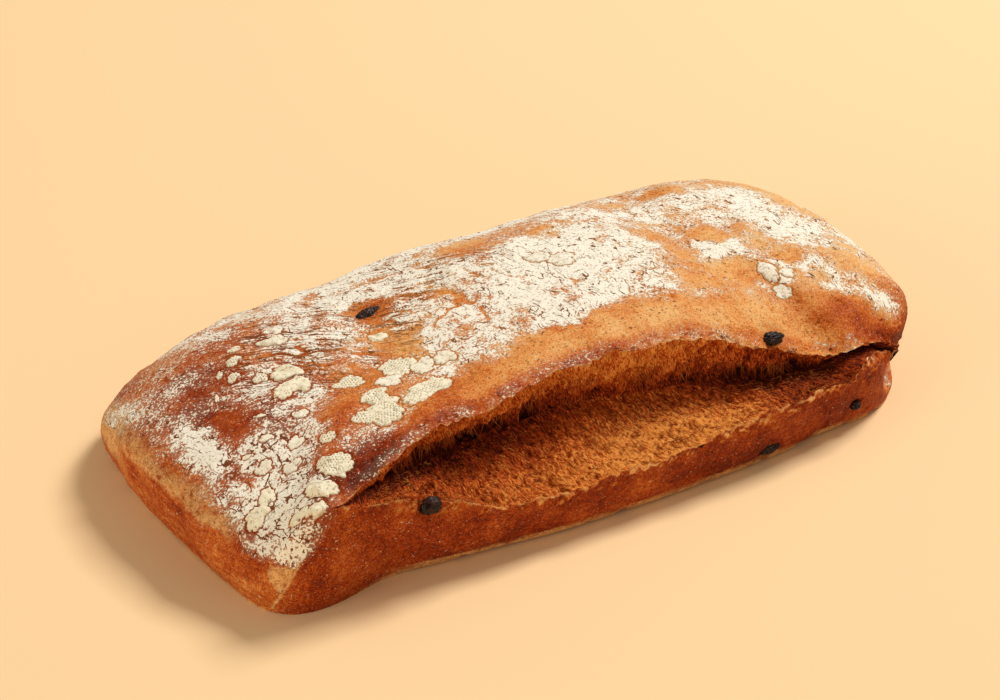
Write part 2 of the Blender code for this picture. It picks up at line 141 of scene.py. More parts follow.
def bezier(points: Sequence[tuple[Array, Array]], t: Array) -> tuple[Array, Array]:
    """Cubic Bezier curves in depth and height, one row for every t.

    Args:
        points: four control points, each a depth and a height for every column.
        t: places along the curves, from 0 to 1.

    Returns:
        Depths and heights, with a row for every t and a column for every curve.
    """
    t = t[:, None]
    weights = ((1 - t) ** 3, 3 * t * (1 - t) ** 2, 3 * t * t * (1 - t), t**3)
    depth = sum(w * p[0] for w, p in zip(weights, points))
    height = sum(w * p[1] for w, p in zip(weights, points))
    return depth, height


def lattice_value(i: Array, j: Array, k: Array) -> Array:
    """A repeatable number from 0 to 1 for each point of a whole-number lattice.

    Args:
        i: first coordinates, whole numbers.
        j: second coordinates, whole numbers.
        k: third coordinates, whole numbers.

    Returns:
        One number for each point.
    """
    mixed = (i * 374761393 + j * 668265263 + k * 1274126177) & 0x7FFFFFFF
    mixed = ((mixed ^ (mixed >> 13)) * 1103515245 + 12345) & 0x7FFFFFFF
    return ((mixed ^ (mixed >> 15)) & 0xFFFF) / 65535.0


def lattice_noise(points: Array) -> Array:
    """Smooth noise from -1 to 1: lattice values blended over the cell's eight corners.

    Args:
        points: places, with x, y and z in the last axis; lumps are one unit across.

    Returns:
        One number for each place.
    """
    cell = np.floor(points).astype(np.int64)
    x, y, z = np.moveaxis(smooth_step(points - cell), -1, 0)
    i, j, k = np.moveaxis(cell, -1, 0)
    total = np.zeros(points.shape[:-1])
    for a in (0, 1):
        for b in (0, 1):
            for c in (0, 1):
                weight = (x if a else 1 - x) * (y if b else 1 - y) * (z if c else 1 - z)
                total += weight * lattice_value(i + a, j + b, k + c)
    return 2 * total - 1


def layered_noise(points: Array) -> Array:
    """Lumps with lumps half their size on them, as in the solid."""
    return (lattice_noise(points) + 0.5 * lattice_noise(points * 2.1 + 17.3)) / 1.5


def fractal_noise(points: Array, octaves: int = 4) -> Array:
    """Sum of noises, each half as big and half as strong as the last, over their weight.

    Args:
        points: places, in units of the largest lumps.
        octaves: how many noises are added.

    Returns:
        Numbers from -1 to 1.
    """
    total, weight, reach = np.zeros(points.shape[:-1]), 1.0, 0.0
    for octave in range(octaves):
        total += weight * lattice_noise(points * 2.03**octave + 11.7 * octave)
        reach += weight
        weight *= 0.5
    return total / reach


@dataclass
class Cells:
    """Distances from points to random cell centres, one centre in each unit cube.

    Attributes:
        near: distance to the nearest centre.
        gap: distance to the second nearest, less that to the nearest; 0 on a border.
        chance: a number from 0 to 1 that belongs to the nearest centre.
    """

    near: Array
    gap: Array
    chance: Array

    @classmethod
    def of(cls, points: Array) -> "Cells":
        """Measure the cells round each point, over the 27 cubes next to it.

        Args:
            points: places, in units of the cell size.

        Returns:
            The cells' measures.
        """
        cell = np.floor(points).astype(np.int64)
        inside = points - cell
        near = np.full(points.shape[:-1], 9.0)
        second = near.copy()
        chance = near.copy()
        steps = np.array([(a, b, c) for a in (-1, 0, 1) for b in (-1, 0, 1) for c in (-1, 0, 1)])
        for step in steps:
            i, j, k = np.moveaxis(cell + step, -1, 0)
            keys = ((i, j, k), (i + 57, j, k + 13), (i, j + 31, k + 91))
            centre = np.stack([lattice_value(*key) for key in keys], -1)
            away = np.sqrt(((step + centre - inside) ** 2).sum(-1))
            closer = away < near
            second = np.where(closer, near, np.minimum(second, away))
            chance = np.where(closer, lattice_value(i + 7, j + 5, k + 3), chance)
            near = np.where(closer, away, near)
        return cls(near, second - near, chance)


@dataclass(frozen=True)
class Patch:
    """A soft-edged oval region on the loaf, seen from above.

    Attributes:
        x: middle along the loaf.
        y: middle across the loaf.
        along: half length.
        across: half width.
        turn: degrees from +X.
        strength: value in the middle.
    """

    x: float
    y: float
    along: float
    across: float
    turn: float = 0.0
    strength: float = 1.0

    def at(self, points: Array) -> Array:
        """Strength at each point: flat in the middle, exp(-d^4) towards the edge.

        Args:
            points: places, with x, y and z in the last axis.

        Returns:
            One number for each place.
        """
        turn = math.radians(self.turn)
        dx, dy = points[..., 0] - self.x, points[..., 1] - self.y
        u = (dx * math.cos(turn) + dy * math.sin(turn)) / self.along
        v = (dy * math.cos(turn) - dx * math.sin(turn)) / self.across
        return self.strength * np.exp(-((u * u + v * v) ** 2))


Patches = tuple[Patch, ...]


def patches(*rows: Row) -> Patches:
    """Patches from rows of their numbers, in the order of Patch's fields."""
    return tuple(Patch(*row) for row in rows)


def most_of(regions: Iterable[Patch], points: Array) -> Array:
    """The strongest of several patches at each point, at least 0."""
    return reduce(np.maximum, (patch.at(points) for patch in regions), np.zeros(points.shape[:-1]))


# Meshes.


def vertex_normals(points: Array, triangles: Array) -> Array:
    """Unit normals: each triangle's cross product summed at its corners.

    Args:
        points: places of the vertices.
        triangles: three vertex numbers for every triangle.

    Returns:
        A unit vector for every vertex.
    """
    a, b, c = (points[triangles[:, n]] for n in range(3))
    across = np.cross(b - a, c - a)
    total = np.stack([
        sum(np.bincount(triangles[:, n], across[:, axis], len(points)) for n in range(3))
        for axis in range(3)
    ], -1)
    return total / np.maximum(np.linalg.norm(total, axis=1), 1e-12)[:, None]


def grid_triangles(rows: int, columns: int, closed: bool) -> Array:
    """Triangles of a grid of points, numbered row by row.

    Args:
        rows: rows of points.
        columns: columns of points.
        closed: whether the last column joins the first.

    Returns:
        Three vertex numbers for every triangle.
    """
    r = np.arange(rows - 1)[:, None] * columns
    c = np.arange(columns if closed else columns - 1)[None, :]
    after = (c + 1) % columns
    corners = (r + c, r + after, r + columns + after, r + columns + c)
    a, b, d, e = (np.broadcast_to(v, (rows - 1, c.shape[1])).ravel() for v in corners)
    return np.concatenate([np.stack([a, b, d], -1), np.stack([a, d, e], -1)])


def whole(triangles: Array) -> Array:
    """Which triangles have three different corners."""
    a, b, c = triangles.T
    return (a != b) & (b != c) & (c != a)


def weld(points: Array, triangles: Array) -> tuple[Array, Array, Array]:
    """Join points at the same place and drop the triangles that close up.

    Args:
        points: places.
        triangles: three vertex numbers for every triangle.

    Returns:
        The points, the triangles, and the number that each point came from.
    """
    _, first, inverse = np.unique(np.round(points, 5), axis=0, return_index=True, return_inverse=True)
    triangles = inverse.ravel()[triangles]
    return points[first], triangles[whole(triangles)], first


def make_piece(
    name: str,
    points: Array,
    triangles: Array,
    material: Material,
    fields: dict[str, Array] | None = None,
    normals: Array | None = None,
) -> Piece:
    """Put points, triangles and fields into a mesh object at the origin.

    Args:
        name: the piece's name.
        points: places in millimetres, in the row frame.
        triangles: three vertex numbers for every triangle.
        material: the piece's finish.
        fields: a number for every vertex, by attribute name.
        normals: shading normals for every vertex.

    Returns:
        The new object, riding on the root body.
    """
    mesh = bpy.data.meshes.new(name)
    count = len(triangles)
    mesh.vertices.add(len(points))
    mesh.vertices.foreach_set("co", np.ascontiguousarray(points * METRES, np.float32).ravel())
    mesh.loops.add(count * 3)
    mesh.loops.foreach_set("vertex_index", np.ascontiguousarray(triangles, np.int32).ravel())
    mesh.polygons.add(count)
    mesh.polygons.foreach_set("loop_start", np.arange(0, count * 3, 3, dtype=np.int32))
    mesh.update(calc_edges=True)
    mesh.validate()
    mesh.shade_smooth()
    for key, values in (fields or {}).items():
        made = mesh.attributes.new(key, "FLOAT", "POINT")
        made.data.foreach_set("value", np.ascontiguousarray(values, np.float32))
    if normals is not None:
        mesh.normals_split_custom_set_from_vertices(normals.tolist())
    mesh.materials.append(material)
    piece = bpy.data.objects.new(name, mesh)
    bpy.context.scene.collection.objects.link(piece)
    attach(piece, "root")
    return piece


# Finishes.


class ShaderGraph:
    """A material and short words for the nodes that colour it."""

    def __init__(self, name: str) -> None:
        """Start an empty Principled material.

        Args:
            name: the material's name.
        """
        self.material = bpy.data.materials.new(name)
        self.material.use_nodes = True
        self.tree = self.material.node_tree
        self.shader = self.tree.nodes["Principled BSDF"]
        self.place = self.tree.nodes.new("ShaderNodeTexCoord").outputs["Object"]

    def node(
        self, kind: str, settings: dict[str, str | bool], *values: Number, **inputs: Number | Row
    ) -> bpy.types.Node:
        """Add a node.

        Args:
            kind: the node's type.
            settings: the node's own properties.
            values: values or sockets of its first inputs, in order.
            inputs: values or sockets by input name, with spaces as underscores.

        Returns:
            The new node.
        """
        made = self.tree.nodes.new(kind)
        for key, value in settings.items():
            setattr(made, key, value)
        for socket, value in zip(made.inputs, values):
            self.feed(socket, value)
        for key, value in inputs.items():
            self.feed(made.inputs[key.replace("_", " ")], value)
        return made

    def feed(self, socket: Socket, value: Number | Row) -> None:
        """Link a socket to a socket, or set its number.

        Args:
            socket: the input.
            value: a socket, or the input's own value.
        """
        if isinstance(value, Socket):
            self.tree.links.new(value, socket)
        else:
            socket.default_value = value

    def field(self, name: str) -> Socket:
        """A vertex field of the piece, as a number."""
        return self.node("ShaderNodeAttribute", {"attribute_name": name}).outputs["Fac"]

    def maths(self, operation: str, a: Number, b: Number = 0.0, clamp: bool = False) -> Socket:
        """One sum of two numbers, kept from 0 to 1 if clamp is set."""
        settings = {"operation": operation, "use_clamp": clamp}
        return self.node("ShaderNodeMath", settings, a, b).outputs[0]

    def add(self, a: Number, b: Number, clamp: bool = False) -> Socket:
        """Two numbers added."""
        return self.maths("ADD", a, b, clamp)

    def less(self, a: Number, b: Number) -> Socket:
        """The first number less the second."""
        return self.maths("SUBTRACT", a, b)

    def times(self, a: Number, b: Number) -> Socket:
        """Two numbers multiplied."""
        return self.maths("MULTIPLY", a, b)

    def most(self, a: Number, b: Number) -> Socket:
        """The greater of two numbers."""
        return self.maths("MAXIMUM", a, b)

    def ramp(
        self, value: Number, low: float, high: float, to_low: float = 0.0, to_high: float = 1.0
    ) -> Socket:
        """A number mapped smoothly from low..high to to_low..to_high."""
        settings = {"interpolation_type": "SMOOTHSTEP"}
        return self.node("ShaderNodeMapRange", settings, value, low, high, to_low, to_high).outputs[0]

    def stretched(self, scale: Row, vector: Socket | None = None) -> Socket:
        """The place on the piece, stretched along each axis."""
        return self.node("ShaderNodeMapping", {}, Scale=scale, Vector=vector or self.place).outputs[0]

    def turned(self, degrees: float, shift: float = 0.0) -> Socket:
        """The place on the piece, turned about the upward axis and then shifted along it."""
        numbers = {"Rotation": (0.0, 0.0, math.radians(degrees)), "Location": (0.0, 0.0, shift)}
        return self.node("ShaderNodeMapping", {}, self.place, **numbers).outputs[0]

    def moved(self, vector: Socket, factor: float) -> Socket:
        """The place on the piece, moved by a vector times a number."""
        scaled = self.node("ShaderNodeVectorMath", {"operation": "SCALE"}, vector, Scale=factor).outputs[0]
        return self.node("ShaderNodeVectorMath", {"operation": "ADD"}, self.place, scaled).outputs[0]

    def lines(self, cell: Row, degrees: float, width: float, shift: float = 0.0) -> Socket:
        """Thin wiggly lines where a stretched noise passes its middle value.

        Args:
            cell: size of the noise along the lines, across them and upwards, in millimetres.
            degrees: how far the lines are turned from +X.
            width: how far from the middle value the line reaches.
            shift: metres that the noise is shifted, so that patterns differ.

        Returns:
            1 on a line and 0 away from it.
        """
        lie = self.stretched(tuple(1 / size / METRES for size in cell), self.turned(-degrees, shift))
        away = self.maths("SUBTRACT", self.noise(1.0, 2, 0.5, lie, 0.4), 0.5)
        return self.ramp(self.maths("ABSOLUTE", away), 0.4 * width, width, 1.0, 0.0)

    def noise(
        self, scale: float, detail: float = 3.0, rough: float = 0.55, vector: Socket | None = None,
        warp: float = 0.0,
    ) -> Socket:
        """Noise from 0 to 1, with scale lumps to the metre and detail finer noises on them."""
        numbers = {"Scale": scale, "Detail": detail, "Roughness": rough, "Distortion": warp}
        return self.node("ShaderNodeTexNoise", {}, vector or self.place, **numbers).outputs["Fac"]

    def cells(self, scale: float, feature: str = "F1", vector: Socket | None = None) -> Socket:
        """Distance in a Voronoi pattern with scale cells to the metre."""
        made = self.node("ShaderNodeTexVoronoi", {"feature": feature}, vector or self.place, Scale=scale)
        return made.outputs["Distance"]

    def mix(self, share: Number, a: Paint, b: Paint) -> Socket:
        """Two colours blended.

        Args:
            share: share of the second colour.
            a: first colour or socket.
            b: second colour or socket.

        Returns:
            The blended colour.
        """
        made = self.node("ShaderNodeMix", {"data_type": "RGBA"})
        self.feed(made.inputs["Factor"], share)
        for socket, colour in (("A", a), ("B", b)):
            target = next(s for s in made.inputs if s.name == socket and s.type == "RGBA")
            self.feed(target, (*colour, 1.0) if isinstance(colour, tuple) else colour)
        return next(s for s in made.outputs if s.type == "RGBA")

    def colours(self, value: Socket, stops: Stops) -> Socket:
        """A colour read from stops by a number.

        Args:
            value: the number.
            stops: numbers and their colours.

        Returns:
            The colour.
        """
        made = self.node("ShaderNodeValToRGB", {}, Fac=value)
        elements = made.color_ramp.elements
        while len(elements) < len(stops):
            elements.new(0.5)
        for element, (position, colour) in zip(elements, stops):
            element.position = position
            element.color = (*colour, 1.0)
        return made.outputs["Color"]

    def bump(self, height: Socket, distance: float, strength: float) -> Socket:
        """A normal bent by a height, in millimetres of distance."""
        numbers = {"Strength": strength, "Distance": distance * METRES}
        return self.node("ShaderNodeBump", {}, Height=height, **numbers).outputs[0]

    def finish(
        self, colour: Paint, roughness: Number, normal: Socket | None = None, **numbers: float
    ) -> Material:
        """Link the colour, roughness and normal to the shader and set its plain numbers.

        Args:
            colour: colour or socket.
            roughness: number or socket.
            normal: socket of the bent normal.
            numbers: other shader inputs by name, with spaces as underscores.

        Returns:
            The finished material.
        """
        self.feed(self.shader.inputs["Base Color"], colour)
        self.feed(self.shader.inputs["Roughness"], roughness)
        if normal is not None:
            self.feed(self.shader.inputs["Normal"], normal)
        for key, value in numbers.items():
            self.shader.inputs[key.replace("_", " ")].default_value = value
        return self.material


@dataclass(frozen=True)
class CrustFinish:
    """Baked crust from pale gold to dark red-brown, with flour lying on it.

    It reads the vertex fields bake, flour, crack, fold, tiled and glow; crack also carries painted shade.

    Attributes:
        stops: crust colours by bake, from pale to dark.
        flour: colour of thick flour.
        thin_flour: colour of flour rubbed into the crust.
        groove: colour in the cracks, and of the painted shade in the pits and round the plaques.
        gold: colour where the crust is pale and bare.
        dull_gold: the darker specks there.
        grain: grains of flour to the metre.
        tile: tiles of cracked flour to the metre.
        wobble: how far the tiles' sides are bent, millimetres.
        long_cracks: cell, turn and width of the cracks along the stretch, as lines() takes them.
        cross_cracks: the same of those across it, and their shift.
        folds: the same of the folds in the wrinkled crust.
    """

    stops: Stops = (
        (0.00, (0.800, 0.470, 0.180)),
        (0.25, (0.690, 0.262, 0.062)),
        (0.50, (0.500, 0.106, 0.016)),
        (0.75, (0.275, 0.030, 0.004)),
        (1.00, (0.075, 0.009, 0.003)),
    )
    flour: Colour = (0.900, 0.850, 0.720)
    thin_flour: Colour = (0.760, 0.590, 0.420)
    groove: Colour = (0.150, 0.052, 0.018)
    gold: Colour = (0.820, 0.480, 0.190)
    dull_gold: Colour = (0.520, 0.230, 0.065)
    grain: float = 1250.0
    tile: float = 150.0
    wobble: float = 2.8
    long_cracks: tuple[Triple, float, float] = ((11.0, 3.6, 6.0), -82, 0.019)
    cross_cracks: tuple[Triple, float, float, float] = ((7.0, 4.4, 6.0), -18, 0.016, 0.3)
    folds: tuple[Triple, float, float, float] = ((27.0, 2.1, 9.0), -33, 0.040, 0.7)

    def cracks(self, g: ShaderGraph) -> Socket:
        """Cracks of the flour: two crossing sets of lines, tiles with bent sides, and folds, with the
        crack field and its painted shade.

        Args:
            g: the graph that the nodes go into.

        Returns:
            1 in a crack and 0 away from it.
        """
        broken = g.noise(190, 2)
        cracks = g.times(g.lines(*self.long_cracks), g.ramp(broken, 0.48, 0.58))
        others = g.times(g.lines(*self.cross_cracks), g.ramp(broken, 0.47, 0.38))
        cracks = g.most(cracks, others)
        wobble = g.node("ShaderNodeTexNoise", {}, g.place, Scale=260.0, Detail=2.0).outputs["Color"]
        bent = g.moved(wobble, self.wobble * METRES)
        tiles = g.ramp(g.cells(self.tile, "DISTANCE_TO_EDGE", bent), 0.014, 0.045, 1.0, 0.0)
        some = g.times(g.field("tiled"), g.ramp(g.noise(230, 2), 0.44, 0.56))
        tiles = g.times(tiles, some)
        cracks = g.times(g.most(cracks, tiles), g.ramp(g.field("flour"), 0.28, 0.62))
        folds = g.times(g.lines(*self.folds), g.ramp(g.noise(90, 2), 0.40, 0.52))
        folds = g.times(folds, g.field("fold"))
        return g.most(g.field("crack_and_shade"), g.most(cracks, folds))

    def material(self) -> Material:
        """The crust's material.

        Returns:
            The material, from the bare crust up to the flour that covers it.
        """
        g = ShaderGraph("baked_crust")
        broad, fine, speck = g.noise(70, 3), g.noise(520, 2, 0.6), g.noise(2100, 1, 0.5)
        grains, clumps = g.noise(self.grain, 1, 0.6), g.noise(260, 4, 0.65)
        shift = g.add(g.ramp(broad, 0.3, 0.7, -0.11, 0.11), g.ramp(fine, 0.3, 0.7, -0.07, 0.07))
        shade = g.add(g.field("bake"), shift)
        shade = g.add(shade, g.ramp(speck, 0.3, 0.7, -0.13, 0.13), clamp=True)
        gold = g.mix(g.ramp(g.add(speck, fine), 0.80, 1.25), self.gold, self.dull_gold)
        crust = g.mix(g.field("glow"), g.colours(shade, self.stops), gold)
        pore = g.noise(1050, 1, 0.6, g.stretched((1.0, 1.0, 1.5)))
        crust = g.mix(g.ramp(pore, 0.68, 0.74, 0.0, 0.80), crust, self.groove)
        salt = g.ramp(g.field("flour"), 0.0, 0.3, 0.20, 0.66)
        crust = g.mix(g.times(g.ramp(pore, 0.335, 0.275), salt), crust, self.thin_flour)

        crack_and_shade = self.cracks(g)
        level = g.add(g.times(grains, 0.80), g.times(clumps, 0.20))
        flour = g.less(g.field("flour"), g.times(crack_and_shade, 0.95))
        spare = g.less(g.add(g.times(flour, 0.34), 0.302), level)
        cover = g.ramp(spare, -0.020, 0.040)
        colour = g.mix(g.ramp(flour, 0.05, 0.9, 0.0, 0.30), crust, self.thin_flour)
        colour = g.mix(g.ramp(crack_and_shade, 0.2, 0.85, 0.0, 0.85), colour, self.groove)
        thick = g.mix(g.ramp(flour, 0.2, 0.85), self.thin_flour, self.flour)
        colour = g.mix(g.ramp(pore, 0.60, 0.69, 0.0, 0.55), g.mix(cover, colour, thick), self.groove)

        height = g.add(g.times(cover, 0.6), g.times(fine, 0.3))
        height = g.add(height, g.times(speck, 0.4))
        height = g.less(height, g.times(crack_and_shade, 0.5))
        rough = g.ramp(cover, 0.0, 1.0, 0.52, 0.92)
        return g.finish(colour, rough, g.bump(height, 0.30, 0.9), Specular_IOR_Level=0.05)


@dataclass(frozen=True)
class CrumbFinish:
    """Torn crumb, golden where it faces up and red-brown in the depth of the split and in its pores, a
    darkening that is painted shade.

    It reads the vertex fields along, down, toast and glow; toast also carries painted shade.

    Attributes:
        stops: crumb colours by toast and painted shade, from bright to dark.
        edge: colour of the thin edge at a lip.
    """

    stops: Stops = (
        (0.00, (0.850, 0.345, 0.072)),
        (0.25, (0.640, 0.150, 0.022)),
        (0.50, (0.400, 0.054, 0.007)),
        (0.75, (0.190, 0.020, 0.003)),
        (1.00, (0.045, 0.007, 0.002)),
    )
    edge: Colour = (0.700, 0.300, 0.090)

    def material(self) -> Material:
        """The crumb's material.

        Returns:
            The material.
        """
        g = ShaderGraph("torn_crumb")
        lie = g.node("ShaderNodeCombineXYZ", {}, X=g.field("along"), Y=g.field("down")).outputs[0]
        fibres = g.noise(1.0, 3, 0.6, g.stretched((1.7, 0.40, 1.0), lie), 0.5)
        threads = g.noise(1.0, 2, 0.6, g.stretched((3.6, 0.60, 1.0), lie), 0.5)
        grain, pores = g.noise(1500, 2, 0.65), g.cells(560)
        shift = g.add(g.ramp(fibres, 0.3, 0.7, -0.20, 0.20), g.ramp(threads, 0.3, 0.7, -0.28, 0.28))
        shift = g.add(shift, g.ramp(grain, 0.3, 0.7, -0.11, 0.11))
        # painted shade darkens the middle of each pore
        shift = g.add(shift, g.ramp(pores, 0.06, 0.26, 0.30, 0.0))
        colour = g.colours(g.add(g.field("toast_and_shade"), shift, clamp=True), self.stops)
        colour = g.mix(g.field("glow"), colour, self.edge)
        height = g.add(g.times(threads, 0.9), g.times(grain, 0.7))
        height = g.add(height, g.ramp(pores, 0.1, 0.4, 0.0, 0.8))
        return g.finish(colour, 0.75, g.bump(height, 0.55, 1.0), Specular_IOR_Level=0.05)


@dataclass(frozen=True)
class FlakeFinish:
    """Dried flour paste with the print of a woven cloth.

    It reads the vertex fields print, which is 1 in the bottom of a print mark and also holds the split
    lines and painted shade at the edge, and white.

    Attributes:
        cream: colour of the face.
        white: colour of a face that is as white as the flour.
        butter: colour of its broad patches.
        chalk: colour of its grains.
        shade: colour of the print and the split lines, and of the painted shade at the edge.
    """

    cream: Colour = (0.900, 0.830, 0.620)
    white: Colour = (0.90, 0.85, 0.72)
    butter: Colour = (0.80, 0.66, 0.42)
    chalk: Colour = (0.93, 0.88, 0.76)
    shade: Colour = (0.260, 0.160, 0.070)

    def material(self) -> Material:
        """The flake's material.

        Returns:
            The material.
        """
        g = ShaderGraph("dried_flour")
        grain, broad = g.noise(1700, 2), g.noise(240, 3)
        colour = g.mix(g.field("white"), self.cream, self.white)
        colour = g.mix(g.ramp(broad, 0.3, 0.75, 0.0, 0.30), colour, self.butter)
        colour = g.mix(g.ramp(grain, 0.35, 0.75, 0.0, 0.35), colour, self.chalk)
        specks = g.noise(900, 2, 0.7)
        colour = g.mix(g.ramp(specks, 0.56, 0.64, 0.0, 0.60), colour, self.shade)
        # print, split lines and painted shade at the edge
        colour = g.mix(g.field("print"), colour, self.shade)
        height = g.add(grain, g.times(specks, -1.2))
        return g.finish(colour, 0.9, g.bump(height, 0.25, 0.9), Specular_IOR_Level=0.1)


@dataclass(frozen=True)
class TomatoFinish:
    """Skin of dried tomato, nearly black, with flour caught on it.

    Attributes:
        skin: main colour.
        flesh: colour where the skin is thin.
        dust: colour of the flour on it.
        floury: share of the skin with flour on it.
    """

    skin: Colour = (0.011, 0.006, 0.005)
    flesh: Colour = (0.060, 0.012, 0.006)
    dust: Colour = (0.62, 0.55, 0.46)
    floury: float = 0.08

    def material(self, name: str) -> Material:
        """The material under a name of its own.

        Args:
            name: the material's name.

        Returns:
            The material.
        """
        g = ShaderGraph(name)
        folds = g.noise(420, 3, 0.6, None, 0.8)
        grains = g.noise(1500, 2, 0.6)
        colour = g.mix(g.ramp(folds, 0.45, 0.72), self.skin, self.flesh)
        dust = g.ramp(grains, 0.74 - self.floury, 0.84 - self.floury)
        colour = g.mix(dust, colour, self.dust)
        rough = g.ramp(dust, 0.0, 1.0, 0.42, 0.85)
        height = g.add(folds, g.times(grains, 0.25))
        return g.finish(colour, rough, g.bump(height, 0.6, 0.8), Specular_IOR_Level=0.22)


@dataclass(frozen=True)
class StrandFinish:
    """Thin threads of crumb pulled out where the loaf tore.

    Attributes:
        colour: main colour.
        bright: colour of the brighter threads.
    """

    colour: Colour = (0.300, 0.055, 0.008)
    bright: Colour = (0.62, 0.22, 0.040)

    def material(self) -> Material:
        """The strands' material.

        Returns:
            The material.
        """
        g = ShaderGraph("crumb_strands")
        tone = g.noise(160, 2)
        colour = g.mix(g.ramp(tone, 0.45, 0.75), self.colour, self.bright)
        return g.finish(colour, 0.7, None, Specular_IOR_Level=0.1)


@dataclass(frozen=True)
class FloorFinish:
    """Plain pale warm backdrop paper.

    Attributes:
        colour: the paper's colour.
        bright: colour of its faint brighter patches.
    """

    colour: Colour = (0.900, 0.640, 0.360)
    bright: Colour = (0.92, 0.68, 0.40)

    def material(self) -> Material:
        """The floor's material.

        Returns:
            The material.
        """
        g = ShaderGraph("paper_floor")
        tone = g.noise(3.5, 2)
        colour = g.mix(g.ramp(tone, 0.3, 0.7, 0.0, 0.10), self.colour, self.bright)
        return g.finish(colour, 0.9, None, Specular_IOR_Level=0.1)


# The form.


class Band(IntEnum):
    """The parts of the skin, from the middle of the base to the ridge."""

    BASE = 0
    WALL = 1
    BED = 2
    TORN = 3
    DOME = 4


@dataclass
class Outline:
    """Dense points of the plan outline, anticlockwise from the middle of the front.

    Attributes:
        x: places along the loaf.
        y: places across the loaf.
        along: distance along the outline.
        corners: distance to each of the four corners.
    """

    x: Array
    y: Array
    along: Array
    corners: Array

    @property
    def length(self) -> float:
        """Length once round."""
        return float(self.along[-1])

    def signed(self, place: Array) -> Array:
        """Places counted both ways from the middle of the front."""
        half = self.length / 2
        return (place + half) % self.length - half


